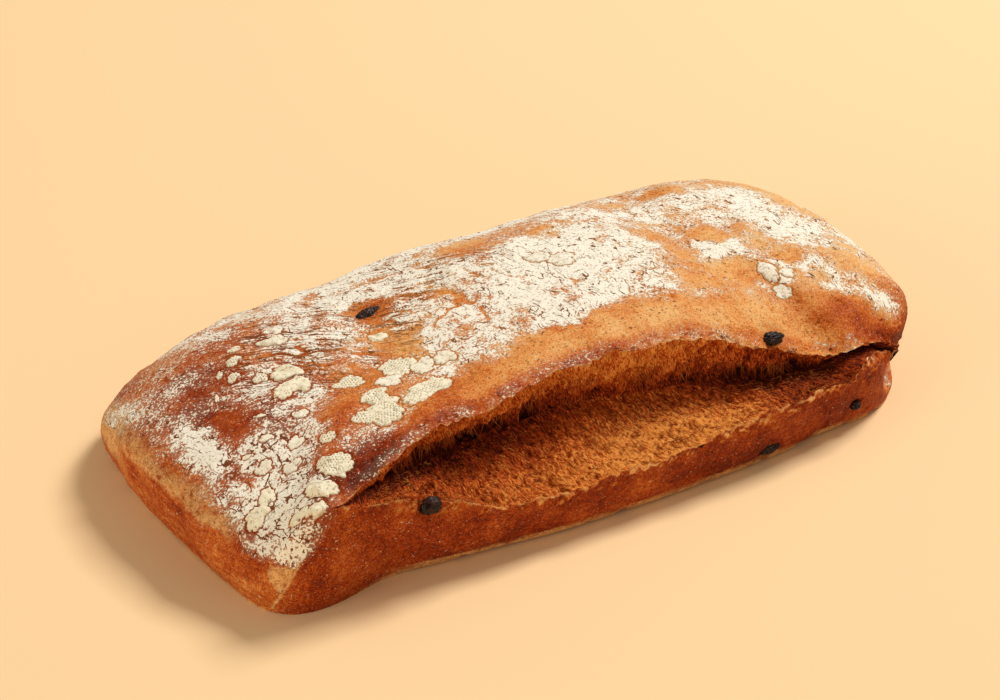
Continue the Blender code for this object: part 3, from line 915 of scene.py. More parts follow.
@dataclass
class LoafForm:
    """The smooth form of the loaf, by the same sizes as its solid.

    The eight-number fields go round the outline: front, front right corner, right, back
    right corner, back, back left corner, left, front left corner.
    """

    half_length: float = 132.0
    half_front: float = 71.8
    half_back: float = 75.3
    bulge_front: float = 4.1
    bulge_back: float = 3.2
    bulge_left: float = 10.9
    bulge_right: float = 7.8
    bulge_squareness: int = 8
    power_front: Pair = (12.0, 4.5)
    power_back: Pair = (8.2, 4.8)
    corner_reach: float = 30.0
    base_inset: Row = (8.1, 5, 8.4, 9, 8, 9.3, 7.5, 1.7)
    base_roll: Row = (5, 6, 6, 8, 8, 8, 6, 2)
    wall_roll: Row = (7, 9, 9, 9, 9, 8, 8, 8)
    wall_roll_limit: float = 0.6
    seam_height: Row = (21, 26, 31.8, 27.7, 19.4, 6.2, 24.3, 17.8)
    wall_lean: Row = (80, 80, 80, 80, 80, 75, 72, 80)
    dome_lean: Row = (43.5, 54, 80, 81, 77, 79, 57, 60)
    dome_roll: Row = (14.8, 17.2, 18.6, 19.5, 18.5, 23, 11.5, 24)
    dome_gain: Pair = (0.6, 3.0)
    dome_flatness: Row = (0.50, 0.49, 0.50, 0.54, 0.58, 0.68, 0.50, 0.50)
    base_curls: tuple[Triple, ...] = ((-99, 20, 7.2), (-62, 26, 3.4), (80, 16, 2.4))
    ridge_reach: float = 64.0
    ridge_place: Row = (-1, -0.6, -0.2, 0.2, 0.6, 1)
    ridge_height: Row = (48.5, 54, 59, 60.5, 60.2, 55.7)
    split_place: Row = (
        -116, -96, -76, -48, -18, 20, 58, 84, 94, 103, 112, 122, 134, 150, 172,
    )
    lower_lip: Row = (
        37.9, 33.6, 28.3, 19.2, 18.8, 20.6, 23.2, 22.2, 26.8, 26.4, 21.8, 16.6, 13.8, 17.5, 26,
    )
    lip_lift: Row = (0, 9.8, 19.9, 28.7, 31.7, 29.2, 14.6, 7.2, 4.0, 4.0, 4.2, 4.0, 3.4, 2.4, 0)
    lip_setback: Row = (0, 7.9, 13, 15.9, 20.6, 18.5, 12.7, 8.3, 4.5, 2.5, 1.2, 0.5, 0.3, 0.2, 0)
    crease_depth: Row = (0, 10, 20, 26, 27.5, 25, 17.5, 12.8, 9.5, 8, 7, 6, 5.5, 4.5, 0)
    crease_rise: Row = (0, 4, 7, 13, 14, 8.5, 3.2, 2.2, 1.4, 1.3, 1.2, 1.1, 1.0, 0.8, 0)
    lip_inset: Row = (0, 0, 0, 0, 0, 0, 0, 0, 0, 0.4, 1.0, 1.6, 2.0, 1.6, 0)
    cheek_lean: Row = (0, 0, 0, 0, 0, 0, 0, 0, 0, 0, 20, 62, 60, 34, 6)
    cheek_roll: Row = (0, 0, 0, 0, 0, 0, 0, 0, 0, 0, 0, 5, 14, 8, 1)
    undercut_share: float = 0.6
    seam_blend: float = 25.0
    lip_wave: float = 0.9
    lip_wave_length: float = 9.0
    thin_split: float = 4.0
    swellings: tuple[Row, ...] = (
        (66, 56, 44, 26, 2.0), (134, -5, 39, 20, 1.2), (123, -56, 8, 14, -3.6),
        (-110, 60, 29, 13, -0.9), (-84, 70, 29, 13, -1.1), (-54, 67, 34, 10, 0.9),
        (-38, 62, 40, 12, -1.2), (-20, 45, 50, 12, 1.2), (8, 54, 47, 14, -1.1),
        (103, 46, 48, 14, 0.8),
    )
    crust_lump: Pair = (1.5, 17.0)
    crumb_lump: Pair = (2.4, 8.0)
    floor_clear: float = 2.0
    floor_fade: float = 7.0
    outline: Outline = field(init=False)

    def __post_init__(self) -> None:
        """Work out the outline once."""
        self.outline = self.plan_outline()

    def plan_outline(self) -> Outline:
        """The plan outline: a superellipse whose power differs in each quarter, with bulged sides.

        Returns:
            The outline's points and distances.
        """
        turn = np.linspace(-math.pi / 2, 1.5 * math.pi, 20001)
        cos, sin = np.cos(turn), np.sin(turn)
        right, front = (cos >= 0).astype(int), sin < 0
        power = np.where(front, np.take(self.power_front, right), np.take(self.power_back, right))
        u = np.sign(cos) * np.abs(cos) ** (2 / power)
        v = np.sign(sin) * np.abs(sin) ** (2 / power)
        square = self.bulge_squareness
        near_side = self.bulge_back * np.clip(v, 0, 1) ** square
        near_side -= self.bulge_front * np.clip(-v, 0, 1) ** square
        near_end = self.bulge_right * np.clip(u, 0, 1) ** square
        near_end -= self.bulge_left * np.clip(-u, 0, 1) ** square
        x = self.half_length * u + (1 - v * v) * near_end
        y = np.where(front, self.half_front, self.half_back) * v + (1 - u * u) * near_side
        along = np.concatenate([[0], np.cumsum(np.hypot(np.diff(x), np.diff(y)))])
        corners = np.interp(np.radians([-45, 45, 135, 225]), turn, along)
        return Outline(x, y, along, corners)

    def around(self, place: Array, measures: Sequence[float]) -> Array:
        """A measure at each place, blended from the eight places by exp(-(d / reach)^2).

        Args:
            place: distances along the outline.
            measures: the eight values.

        Returns:
            The measure at each place.
        """
        line, measures = self.outline, np.asarray(measures, float)
        place, half = place % line.length, line.length / 2
        offsets = np.stack([np.abs((place - c + half) % line.length - half) for c in line.corners])
        share = hump(offsets.min(0), self.corner_reach)
        side = np.searchsorted(line.corners, place) % 4
        return measures[0::2][side] * (1 - share) + measures[1::2][offsets.argmin(0)] * share

    def split(self, place: Array) -> dict[str, Array]:
        """Heights and depths of the split's lips and crease at each place.

        Args:
            place: distances along the outline.

        Returns:
            Arrays named low, lift, inset, setback, depth, rise, near, open, cheek_lean and
            cheek_roll.
        """
        place = self.outline.signed(place)
        start, end = self.split_place[0], self.split_place[-1]
        blend = self.seam_blend
        near = smooth_step((place - start) / blend + 1) * smooth_step((end - place) / blend + 1)
        inside = (place > start) & (place < end)
        lift = through(self.split_place, self.lip_lift, place)
        open_share = inside * smooth_step(lift / (2 * self.lip_wave))
        wave_place = np.stack([place / self.lip_wave_length, 0 * place, 0 * place], -1)
        wave_low = self.lip_wave * open_share * layered_noise(wave_place)
        wave_high = self.lip_wave * open_share * layered_noise(wave_place + 5.5)
        inset = inside * through(self.split_place, self.lip_inset, place)
        seam = self.around(place, self.seam_height)
        low = seam * (1 - near) + through(self.split_place, self.lower_lip, place) * near + wave_low
        return {
            "low": low,
            "lift": np.maximum(inside * lift + wave_high - wave_low, 0),
            "inset": inset,
            "setback": inset + inside * through(self.split_place, self.lip_setback, place),
            "depth": inset + inside * through(self.split_place, self.crease_depth, place),
            "rise": inside * through(self.split_place, self.crease_rise, place),
            "near": near,
            "open": open_share,
            "cheek_lean": near * through(self.split_place, self.cheek_lean, place),
            "cheek_roll": near * through(self.split_place, self.cheek_roll, place),
        }

    def ridge_at(self, ridge_x: Array) -> Array:
        """Height of the ridge over places along it."""
        return through(self.ridge_place, self.ridge_height, np.clip(ridge_x / self.ridge_reach, -1, 1))

    def lumps(self, points: Array, crust: Array, crumb: Array) -> Array:
        """How far the dough's unevenness moves each point out along its normal.

        Args:
            points: places before the move.
            crust: share of the crust's lumps at each point.
            crumb: share of the crumb's lumps at each point.

        Returns:
            The move of each point.
        """
        above_floor = smooth_step((points[:, 2] - self.floor_clear) / self.floor_fade)
        crust_move = self.crust_lump[0] * layered_noise(points / self.crust_lump[1])
        for x, y, z, radius, height in self.swellings:
            away = np.sum((points - (x, y, z)) ** 2, axis=1)
            crust_move += height * np.exp(-away / radius**2)
        crumb_move = self.crumb_lump[0] * layered_noise(points / self.crumb_lump[1])
        return above_floor * (crust_move * crust + crumb_move * crumb)


# The skin.


@dataclass
class SkinGrid:
    """Rows and columns of the skin before equal points are joined.

    Attributes:
        points: places, by row and column.
        band: the band of each row.
        t: how far along its band each row is, from 0 to 1.
        place: distance of each column along the outline, both ways from the front.
        ridge_x: where on the ridge each column ends.
        split: the split's measures at each column.
        key: number of the point that each grid point is joined to.
    """

    points: Array
    band: Array
    t: Array
    place: Array
    ridge_x: Array
    split: dict[str, Array]
    key: Array

    def rows_of(self, band: Band) -> Array:
        """Numbers of a band's rows."""
        return np.flatnonzero(self.band == band)


@dataclass
class LoafSkin:
    """The loaf's whole skin in fine detail, with the fields that the finishes read.

    Attributes:
        form: the smooth form.
        spacing: distance between columns along the front and round the back of the ends.
        rows: rows in each band.
        rim_depth: how far a piece's hidden inner rim is under the skin.
        spine_height: height of the hidden line where a piece's inner sides meet.
        wall_fade: how far up the wall the crust's lumps start to fade, and over how much of it.
        dome_fade: how fast they come back on the dome.
        crumb_fade: shares of the bed and of the torn face over which the crumb's lumps come in.
        shut: lift under which the split is shut.
        grid: rows and columns before equal points are joined.
        points: places of the joined points.
        triangles: three numbers of points for every triangle.
        normals: the way that the skin faces at each point.
        smooth_normals: the same before there is any relief.
        index: number of the joined point at each row and column.
        row: row of each point.
        column: column of each point.
        band: band of each point.
        t: how far along its band each point is.
        face_band: band of each triangle.
        face_share: how far along its band the upper side of each triangle is.
        face_front: whether each triangle is in the half with the split.
        shift: what brings the form's own frame into the row frame.
        fields: a number for every point, by attribute name.
    """

    form: LoafForm
    spacing: Pair = (0.38, 0.70)
    rows: dict[Band, int] = field(default_factory=lambda: {
        Band.BASE: 5, Band.WALL: 72, Band.BED: 86, Band.TORN: 74, Band.DOME: 184,
    })
    rim_depth: float = 5.0
    spine_height: float = 22.0
    wall_fade: Pair = (4 / 6, 2 / 6)
    dome_fade: float = 6.5
    crumb_fade: Pair = (0.2, 0.25)
    shut: float = 0.05
    grid: SkinGrid = field(init=False)
    points: Array = field(init=False)
    triangles: Array = field(init=False)
    normals: Array = field(init=False)
    smooth_normals: Array = field(init=False)
    index: Array = field(init=False)
    row: Array = field(init=False)
    column: Array = field(init=False)
    band: Array = field(init=False)
    t: Array = field(init=False)
    face_band: Array = field(init=False)
    face_share: Array = field(init=False)
    face_front: Array = field(init=False)
    shift: Array = field(init=False)
    fields: dict[str, Array] = field(default_factory=dict)

    def __post_init__(self) -> None:
        """Lay out the grid, join equal points and add the dough's unevenness."""
        grid = self.grid = self.lay_out()
        rows, columns = grid.key.shape
        source, joined = np.unique(grid.key.ravel(), return_inverse=True)
        self.index = joined.reshape(rows, columns)
        self.row, self.column = np.divmod(source, columns)
        self.band, self.t = grid.band[self.row], grid.t[self.row]
        triangles = joined.ravel()[grid_triangles(rows, columns, closed=True)]
        kept = whole(triangles)
        self.triangles = triangles[kept]
        face_row, face_column = np.divmod(np.tile(np.arange((rows - 1) * columns), 2)[kept], columns)
        self.face_band, self.face_share = grid.band[face_row + 1], grid.t[face_row + 1]
        self.face_front = grid.points[grid.rows_of(Band.BASE)[-1], face_column, 1] < 0
        self.points = grid.points.reshape(-1, 3)[source]
        self.normals = vertex_normals(self.points, self.triangles)
        crust, crumb = self.dough_shares()
        self.points = self.points + self.normals * self.form.lumps(self.points, crust, crumb)[:, None]
        middle = (self.points.min(0) + self.points.max(0)) / 2
        low, high = (np.array(corner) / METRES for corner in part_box("loaf"))
        self.shift = np.array([*((low + high) / 2 - middle)[:2], 0.0])
        self.points = self.points + self.shift
        self.normals = vertex_normals(self.points, self.triangles)
        self.smooth_normals = self.normals

    def columns(self) -> Array:
        """Places of the columns: even in x along the sides, then finer on the front of the ends.

        Returns:
            Places, rising once round from the left end of the front.
        """
        line, reach = self.form.outline, self.form.ridge_reach
        fine, coarse = self.spacing
        x = np.linspace(-reach, reach, int(round(2 * reach / fine)) + 1)
        first = np.arange(len(line.x)) < len(line.x) // 2
        ahead = (line.y < 0) & first
        right = np.interp(x[x >= 0], line.x[ahead], line.along[ahead])
        behind = (line.y < 0) & ~first
        left = np.interp(x[x < 0], line.x[behind], line.along[behind]) - line.length
        front = np.concatenate([left, right])
        far = line.y > 0
        back = np.interp(x, line.x[far][::-1], line.along[far][::-1])[::-1]
        middles = line.along[np.argmax(line.x)], line.along[np.argmin(line.x)]
        ends = []
        for start, middle, stop, steps in (
            (front[-1], middles[0], back[0], (fine, coarse)),
            (back[-1], middles[1], front[0] + line.length, (coarse, fine)),
        ):
            for a, b, step in ((start, middle, steps[0]), (middle, stop, steps[1])):
                count = int(round((b - a) / step))
                ends.append(np.linspace(a, b, count + 1)[:-1])
        return np.concatenate([front[:-1], ends[0], ends[1], back[:-1], ends[2], ends[3]])

    def lay_out(self) -> SkinGrid:
        """Work out every row of the cross-sections at every column.

        The wall and the dome are Bezier curves from the base to the lower lip and from the
        upper lip to the ridge. The bed falls back as t and rises as t^1.25, and the torn
        face comes forward again as t^1.6.

        Returns:
            The grid of points.
        """
        form = self.form
        line, place = form.outline, self.columns()
        x = np.interp(place % line.length, line.along, line.x)
        y = np.interp(place % line.length, line.along, line.y)
        ridge_x = np.clip(x, -form.ridge_reach, form.ridge_reach)
        reach = np.hypot(x - ridge_x, y)
        inward = np.stack([(ridge_x - x) / reach, -y / reach, 0 * x], -1)
        s = form.split(place)
        ridge = form.ridge_at(ridge_x)
        zero, high = 0 * place, s["low"] + s["lift"]
        signed = line.signed(place)
        inset = form.around(place, form.base_inset)
        inset = inset + sum(d * hump(signed - at, w) for at, w, d in form.base_curls)
        undercut = form.undercut_share * s["cheek_lean"]
        wall_lean = np.radians(form.around(place, form.wall_lean) + undercut)
        dome_lean = np.radians(form.around(place, form.dome_lean) + s["cheek_lean"])
        most_roll = form.wall_roll_limit * s["low"]
        wall_roll = np.minimum(form.around(place, form.wall_roll), most_roll)
        wall_curve = (
            (inset, zero),
            (inset - form.around(place, form.base_roll), zero),
            (s["inset"] - wall_roll * np.cos(wall_lean), s["low"] - wall_roll * np.sin(wall_lean)),
            (s["inset"], s["low"]),
        )
        roll = form.around(place, form.dome_roll) + s["cheek_roll"]
        gain_share, gain_least = form.dome_gain
        most_gain = gain_share * np.maximum(ridge - high, 0) + gain_least
        gain = np.minimum(roll * np.sin(dome_lean), most_gain)
        flatness = form.around(place, form.dome_flatness)
        dome_curve = (
            (s["setback"], high),
            (s["setback"] + roll * np.cos(dome_lean), high + gain),
            (reach - flatness * (reach - s["setback"]), ridge),
            (reach, ridge),
        )
        steps = {band: np.linspace(0, 1, count + 1)[1:] for band, count in self.rows.items()}
        steps[Band.BASE] = np.linspace(0, 1, self.rows[Band.BASE] + 1)
        t = steps[Band.BASE][:, None]
        base = (reach + (inset - reach) * t, 0 * reach * t)
        wall = bezier(wall_curve, steps[Band.WALL])
        t = steps[Band.BED][:, None]
        bed = (s["inset"] + (s["depth"] - s["inset"]) * t, s["low"] + s["rise"] * t**1.25)
        t = steps[Band.TORN][:, None]
        torn = (
            s["depth"] + (s["setback"] - s["depth"]) * t**1.6,
            s["low"] + s["rise"] + (s["lift"] - s["rise"]) * t,
        )
        dome = bezier(dome_curve, steps[Band.DOME])
        bands = {Band.BASE: base, Band.WALL: wall, Band.BED: bed, Band.TORN: torn, Band.DOME: dome}
        depth, height = (np.concatenate([bands[b][n] for b in Band]) for n in (0, 1))
        edge = np.stack([x, y, zero], -1)
        points = edge + inward * depth[..., None] + UP * height[..., None]
        band = np.concatenate([np.full(len(steps[b]), b) for b in Band])
        key = self.joined(points.shape[:2], band, x, y, s["lift"])
        t = np.concatenate([steps[b] for b in Band])
        return SkinGrid(points, band, t, signed, ridge_x, s, key)

    def joined(self, shape: tuple[int, int], band: Array, x: Array, y: Array, lift: Array) -> Array:
        """Which grid points are one: the shut part of the split, and both sides of the ridge.

        Args:
            shape: rows and columns of the grid.
            band: the band of each row.
            x: each column's place along the loaf at the outline.
            y: each column's place across the loaf at the outline.
            lift: how far the split is open at each column.

        Returns:
            For each grid point, the number of the point it is joined to.
        """
        rows, columns = shape
        key = np.arange(rows * columns).reshape(shape)
        lower_lip = np.flatnonzero(band == Band.WALL)[-1]
        split_rows = np.flatnonzero((band == Band.BED) | (band == Band.TORN))
        shut = lift < self.shut
        key[np.ix_(split_rows, shut)] = key[lower_lip, shut]
        reach = self.form.ridge_reach
        front = np.flatnonzero((np.abs(x) <= reach + 1e-6) & (y < 0))
        ordered = front[np.argsort(x[front])]
        where = np.searchsorted(x[ordered], np.clip(x, -reach, reach) - 1e-3)
        partner = ordered[np.clip(where, 0, len(ordered) - 1)]
        for row in (0, rows - 1):
            key[row] = row * columns + partner
        return key

    def dough_shares(self) -> tuple[Array, Array]:
        """Shares of the lumps: the crust's fade at the lips, and the crumb's start there.

        Returns:
            The two shares at each point.
        """
        band, t, s = self.band, self.t, self.of_column
        near, lift = s("near"), s("lift")
        start, over = self.wall_fade
        wall_fade = np.clip((t - start) / over, 0, 1)
        dome_fade = np.clip(1 - t * self.dome_fade, 0, 1)
        in_split = self.is_in(Band.BED, Band.TORN)
        fade = np.where(band == Band.WALL, wall_fade, np.where(band == Band.DOME, dome_fade, 0))
        fade = np.where(in_split, 1.0, fade)
        thin = self.form.thin_split
        bed, torn = self.crumb_fade
        ramp = np.where(band == Band.BED, np.clip(t / bed, 0, 1), np.clip((1 - t) / torn, 0, 1))
        return 1 - near * fade, in_split * ramp * smooth_step((lift - thin) / (2 * thin))

    def of_column(self, name: str) -> Array:
        """A measure of the split, at each joined point."""
        return self.grid.split[name][self.column]

    def from_row(self, band: Band) -> Array:
        """Distance of each joined point along its cross-section from the last row of a band.

        Args:
            band: the band whose last row is the start.

        Returns:
            Distances, positive towards the ridge and negative towards the base.
        """
        steps = np.linalg.norm(np.diff(self.grid.points, axis=0), axis=-1)
        gone = np.concatenate([np.zeros((1, steps.shape[1])), np.cumsum(steps, axis=0)])
        return (gone - gone[self.grid.rows_of(band)[-1]])[self.row, self.column]

    def is_in(self, *bands: Band) -> Array:
        """Whether each joined point is in one of the bands."""
        return np.isin(self.band, bands)

    def move(self, shift: Array) -> None:
        """Move the points and work out their normals again."""
        self.points = self.points + shift
        self.normals = vertex_normals(self.points, self.triangles)

    def push(self, heights: Array) -> None:
        """Move the points out along their normals."""
        self.move(self.normals * heights[:, None])

    def outward(self, which: Array) -> Array:
        """Level unit vectors from the ridge to some of the points.

        Args:
            which: numbers of the points.

        Returns:
            A vector for each point.
        """
        away = self.points[which] - self.shift
        away[:, 0] -= self.grid.ridge_x[self.column[which]]
        away[:, 2] = 0.0
        return away / np.maximum(np.linalg.norm(away, axis=1), 1e-6)[:, None]

    def inner_rim(self, which: Array) -> Array:
        """Places inside the loaf, rim_depth from points on a piece's rim.

        They are straight in from the smooth skin, level in from the split's upper lip and
        crease, and steeply down from its lower lip.

        Args:
            which: numbers of the points.

        Returns:
            A place for each point.
        """
        wall, bed, torn = (self.grid.rows_of(band)[-1] for band in (Band.WALL, Band.BED, Band.TORN))
        row, inward = self.row[which], -self.outward(which)
        way = np.where(np.isin(row, (bed, torn))[:, None], inward, -self.smooth_normals[which])
        way = np.where((row == wall)[:, None], 0.5 * inward - 0.87 * UP, way)
        return self.points[which] + self.rim_depth * way

    def cut_out(self, name: str, faces: Array, material: Material) -> Piece:
        """Make some of the triangles a piece, closed by hidden faces inside the loaf.

        The hidden faces go from the piece's rim to an inner rim, and from there to a spine that
        runs under the ridge, column by column.

        Args:
            name: the piece's name.
            faces: which triangles the piece has.
            material: the piece's finish.

        Returns:
            The piece, standing for the loaf.
        """
        kept, triangles = np.unique(self.triangles[faces], return_inverse=True)
        triangles = triangles.reshape(-1, 3)
        starts = triangles.ravel()
        ends = np.roll(triangles, -1, axis=1).ravel()
        count = len(kept)
        open_edge = ~np.isin(starts * count + ends, ends * count + starts)
        a, b = starts[open_edge], ends[open_edge]
        rim, numbered = np.unique(np.concatenate([a, b]), return_inverse=True)
        inner = self.inner_rim(kept[rim])
        partner = self.grid.key[-1] % self.grid.key.shape[1]
        spine, beside = np.unique(partner[self.column[kept[rim]]], return_inverse=True)
        core = np.stack([self.grid.ridge_x[spine], 0 * spine, 0 * spine + self.spine_height], -1)
        core = core + self.shift
        inner_a, inner_b = (count + n for n in np.split(numbered, 2))
        spine_a, spine_b = (count + len(rim) + beside[n] for n in np.split(numbered, 2))
        strips = (
            (b, a, inner_a), (b, inner_a, inner_b),
            (inner_b, inner_a, spine_a), (inner_b, spine_a, spine_b),
        )
        hidden = np.concatenate([np.stack(corners, -1) for corners in strips])
        hidden = hidden[hidden[:, 1] != hidden[:, 2]]
        spare = len(rim) + len(spine)
        piece = make_piece(
            name,
            np.concatenate([self.points[kept], inner, core]),
            np.concatenate([triangles, hidden]),
            material,
            {key: np.append(values[kept], np.zeros(spare)) for key, values in self.fields.items()},
            np.concatenate([self.normals[kept], self.normals[kept[rim]], np.tile(UP, (len(spine), 1))]),
        )
        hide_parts("loaf")
        return piece


# Flour and baking.


@dataclass(frozen=True)
class FlourLayout:
    """Where flour lies on the crust.

    Attributes:
        heavy: regions with thick flour.
        bare: regions without.
        stipple: regions with scattered flour.
        cloud: size of the flour's clouds and of its clumps.
        end_height: heights between which the flour on the left end starts.
        corner_drop: how much lower it starts at the front corner.
        corner: where flour hangs over the front left corner.
        corner_height: heights between which it starts there, and their rise along the front.
        lip_dust: thin flour on the crust just above the split.
        dust: scattered flour on the side walls.
    """

    heavy: Patches = patches(
        (-122, -57, 14, 17, 10, 1.25), (-131, -24, 6, 26, -4, 0.74), (-131, -46, 8, 14, 0, 0.80),
        (-110, -38, 12, 16, 25, 0.86), (-99, -16, 9, 15, 10, 0.62), (-80, -50, 20, 9, 14, 0.62),
        (-46, -33, 18, 17, 0, 0.78), (-22, -20, 30, 24, 20, 0.88), (-48, 14, 30, 22, -20, 0.40),
        (12, -8, 34, 26, 12, 0.92), (44, 18, 30, 14, 8, 0.40),
        (-8, -36, 28, 7, 3, 0.78), (26, -34, 20, 5, 3, 0.66), (64, -20, 20, 7, -8, 0.58),
        (82, -36, 10, 7, -20, 0.90), (104, -46, 22, 7, -35, 0.84), (125, -46, 8, 8, 0, 0.28),
        (100, 16, 19, 22, -60, 0.58), (112, -16, 15, 20, -70, 0.60),
        (134, -8, 10, 44, -12, 0.48), (-10, 46, 60, 10, 4, 0.62), (-26, 14, 20, 12, -30, 0.62),
    )
    bare: Patches = patches(
        (49, -5, 8, 5, 10, 0.62), (30, -17, 6, 4, 0, 0.6), (55, -17, 8, 5, 0, 0.62),
        (74, -8, 7, 5, 0, 0.66), (70, -31, 18, 6, -15, 0.58), (50, -35, 10, 4, 0, 0.6),
        (90, -30, 6, 4, 0, 0.6), (95, -42, 5, 3, 0, 0.6), (79, 34, 8, 6, 0, 0.6),
        (16, -54, 78, 9, -2, 1.0), (-50, -58, 22, 5, 10, 0.7), (-58, -8, 7, 13, 25, 0.6),
        (-118, -12, 7, 13, 10, 0.30), (-76, -22, 10, 6, -10, 0.35), (-58, -56, 20, 5, 14, 0.6),
    )
    stipple: Patches = patches(
        (-76, 6, 44, 42, 0, 0.52), (-120, 12, 22, 46, 0, 0.44), (-60, 44, 60, 30, 0, 0.72),
        (50, -10, 86, 52, 0, 0.47), (60, 40, 70, 40, 0, 0.56), (-138, 34, 12, 22, 0, 0.66),
        (96, -66, 6, 3, 0, 1.3), (84, -63, 5, 3, -10, 1.0),
    )
    cloud: Pair = (11.0, 3.2)
    end_height: Pair = (25.0, 29.5)
    corner_drop: float = 7.0
    corner: Patch = Patch(-124, -68, 15, 12, 0, 1.0)
    corner_height: Triple = (17.5, 22.5, 1.2)
    lip_dust: float = 0.52
    dust: float = 0.05

    def thickness(self, points: Array, normals: Array) -> Array:
        """Flour at each point: patches less bare spots, broken by clouds, on faces that look up.

        Args:
            points: places on the crust.
            normals: directions that the crust faces.

        Returns:
            Thickness, from 0 to MOST_FLOUR.
        """
        cloud = fractal_noise(points / self.cloud[0], 3)
        clump = fractal_noise(points / self.cloud[1] + 5.0, 3)
        sway = np.stack([fractal_noise(points / 8.0 + n, 3) for n in (3.1, 8.7, 21.3)], -1)
        edge = points + 6.0 * sway
        thick = most_of(self.heavy, edge) * (1.0 + 0.60 * cloud + 0.55 * clump)
        thick += most_of(self.stipple, edge) * (1.0 + 0.9 * cloud + 0.6 * clump)
        thick = thick - most_of(self.bare, edge) * (1.0 + 0.5 * clump)
        facing = smooth_step(normals[:, 2], 0.10, 0.62)
        low, high = self.end_height
        end = smooth_step(-points[:, 0], 126.0, 134.0) * smooth_step(40.0 - points[:, 1], 0.0, 30.0)
        height = edge[:, 2] + self.corner_drop * smooth_step(-points[:, 1], 34.0, 56.0)
        facing = facing * (1 - end) + end * smooth_step(height, low, high)
        low, high, rise = self.corner_height
        height = 0.5 * (points + edge)[:, 2] - rise * np.clip(points[:, 0] + 124.0, 0.0, 99.0)
        facing = np.maximum(facing, self.corner.at(points) * smooth_step(height, low, high))
        wall = (1 - facing) * self.dust * np.clip(1 + 1.6 * cloud + 0.9 * clump, 0, 3)
        wall = wall * (1 - 0.9 * smooth_step(points[:, 0], -60.0, 80.0))
        return np.clip(np.clip(thick, 0.0, MOST_FLOUR) * facing + wall, 0.0, MOST_FLOUR)


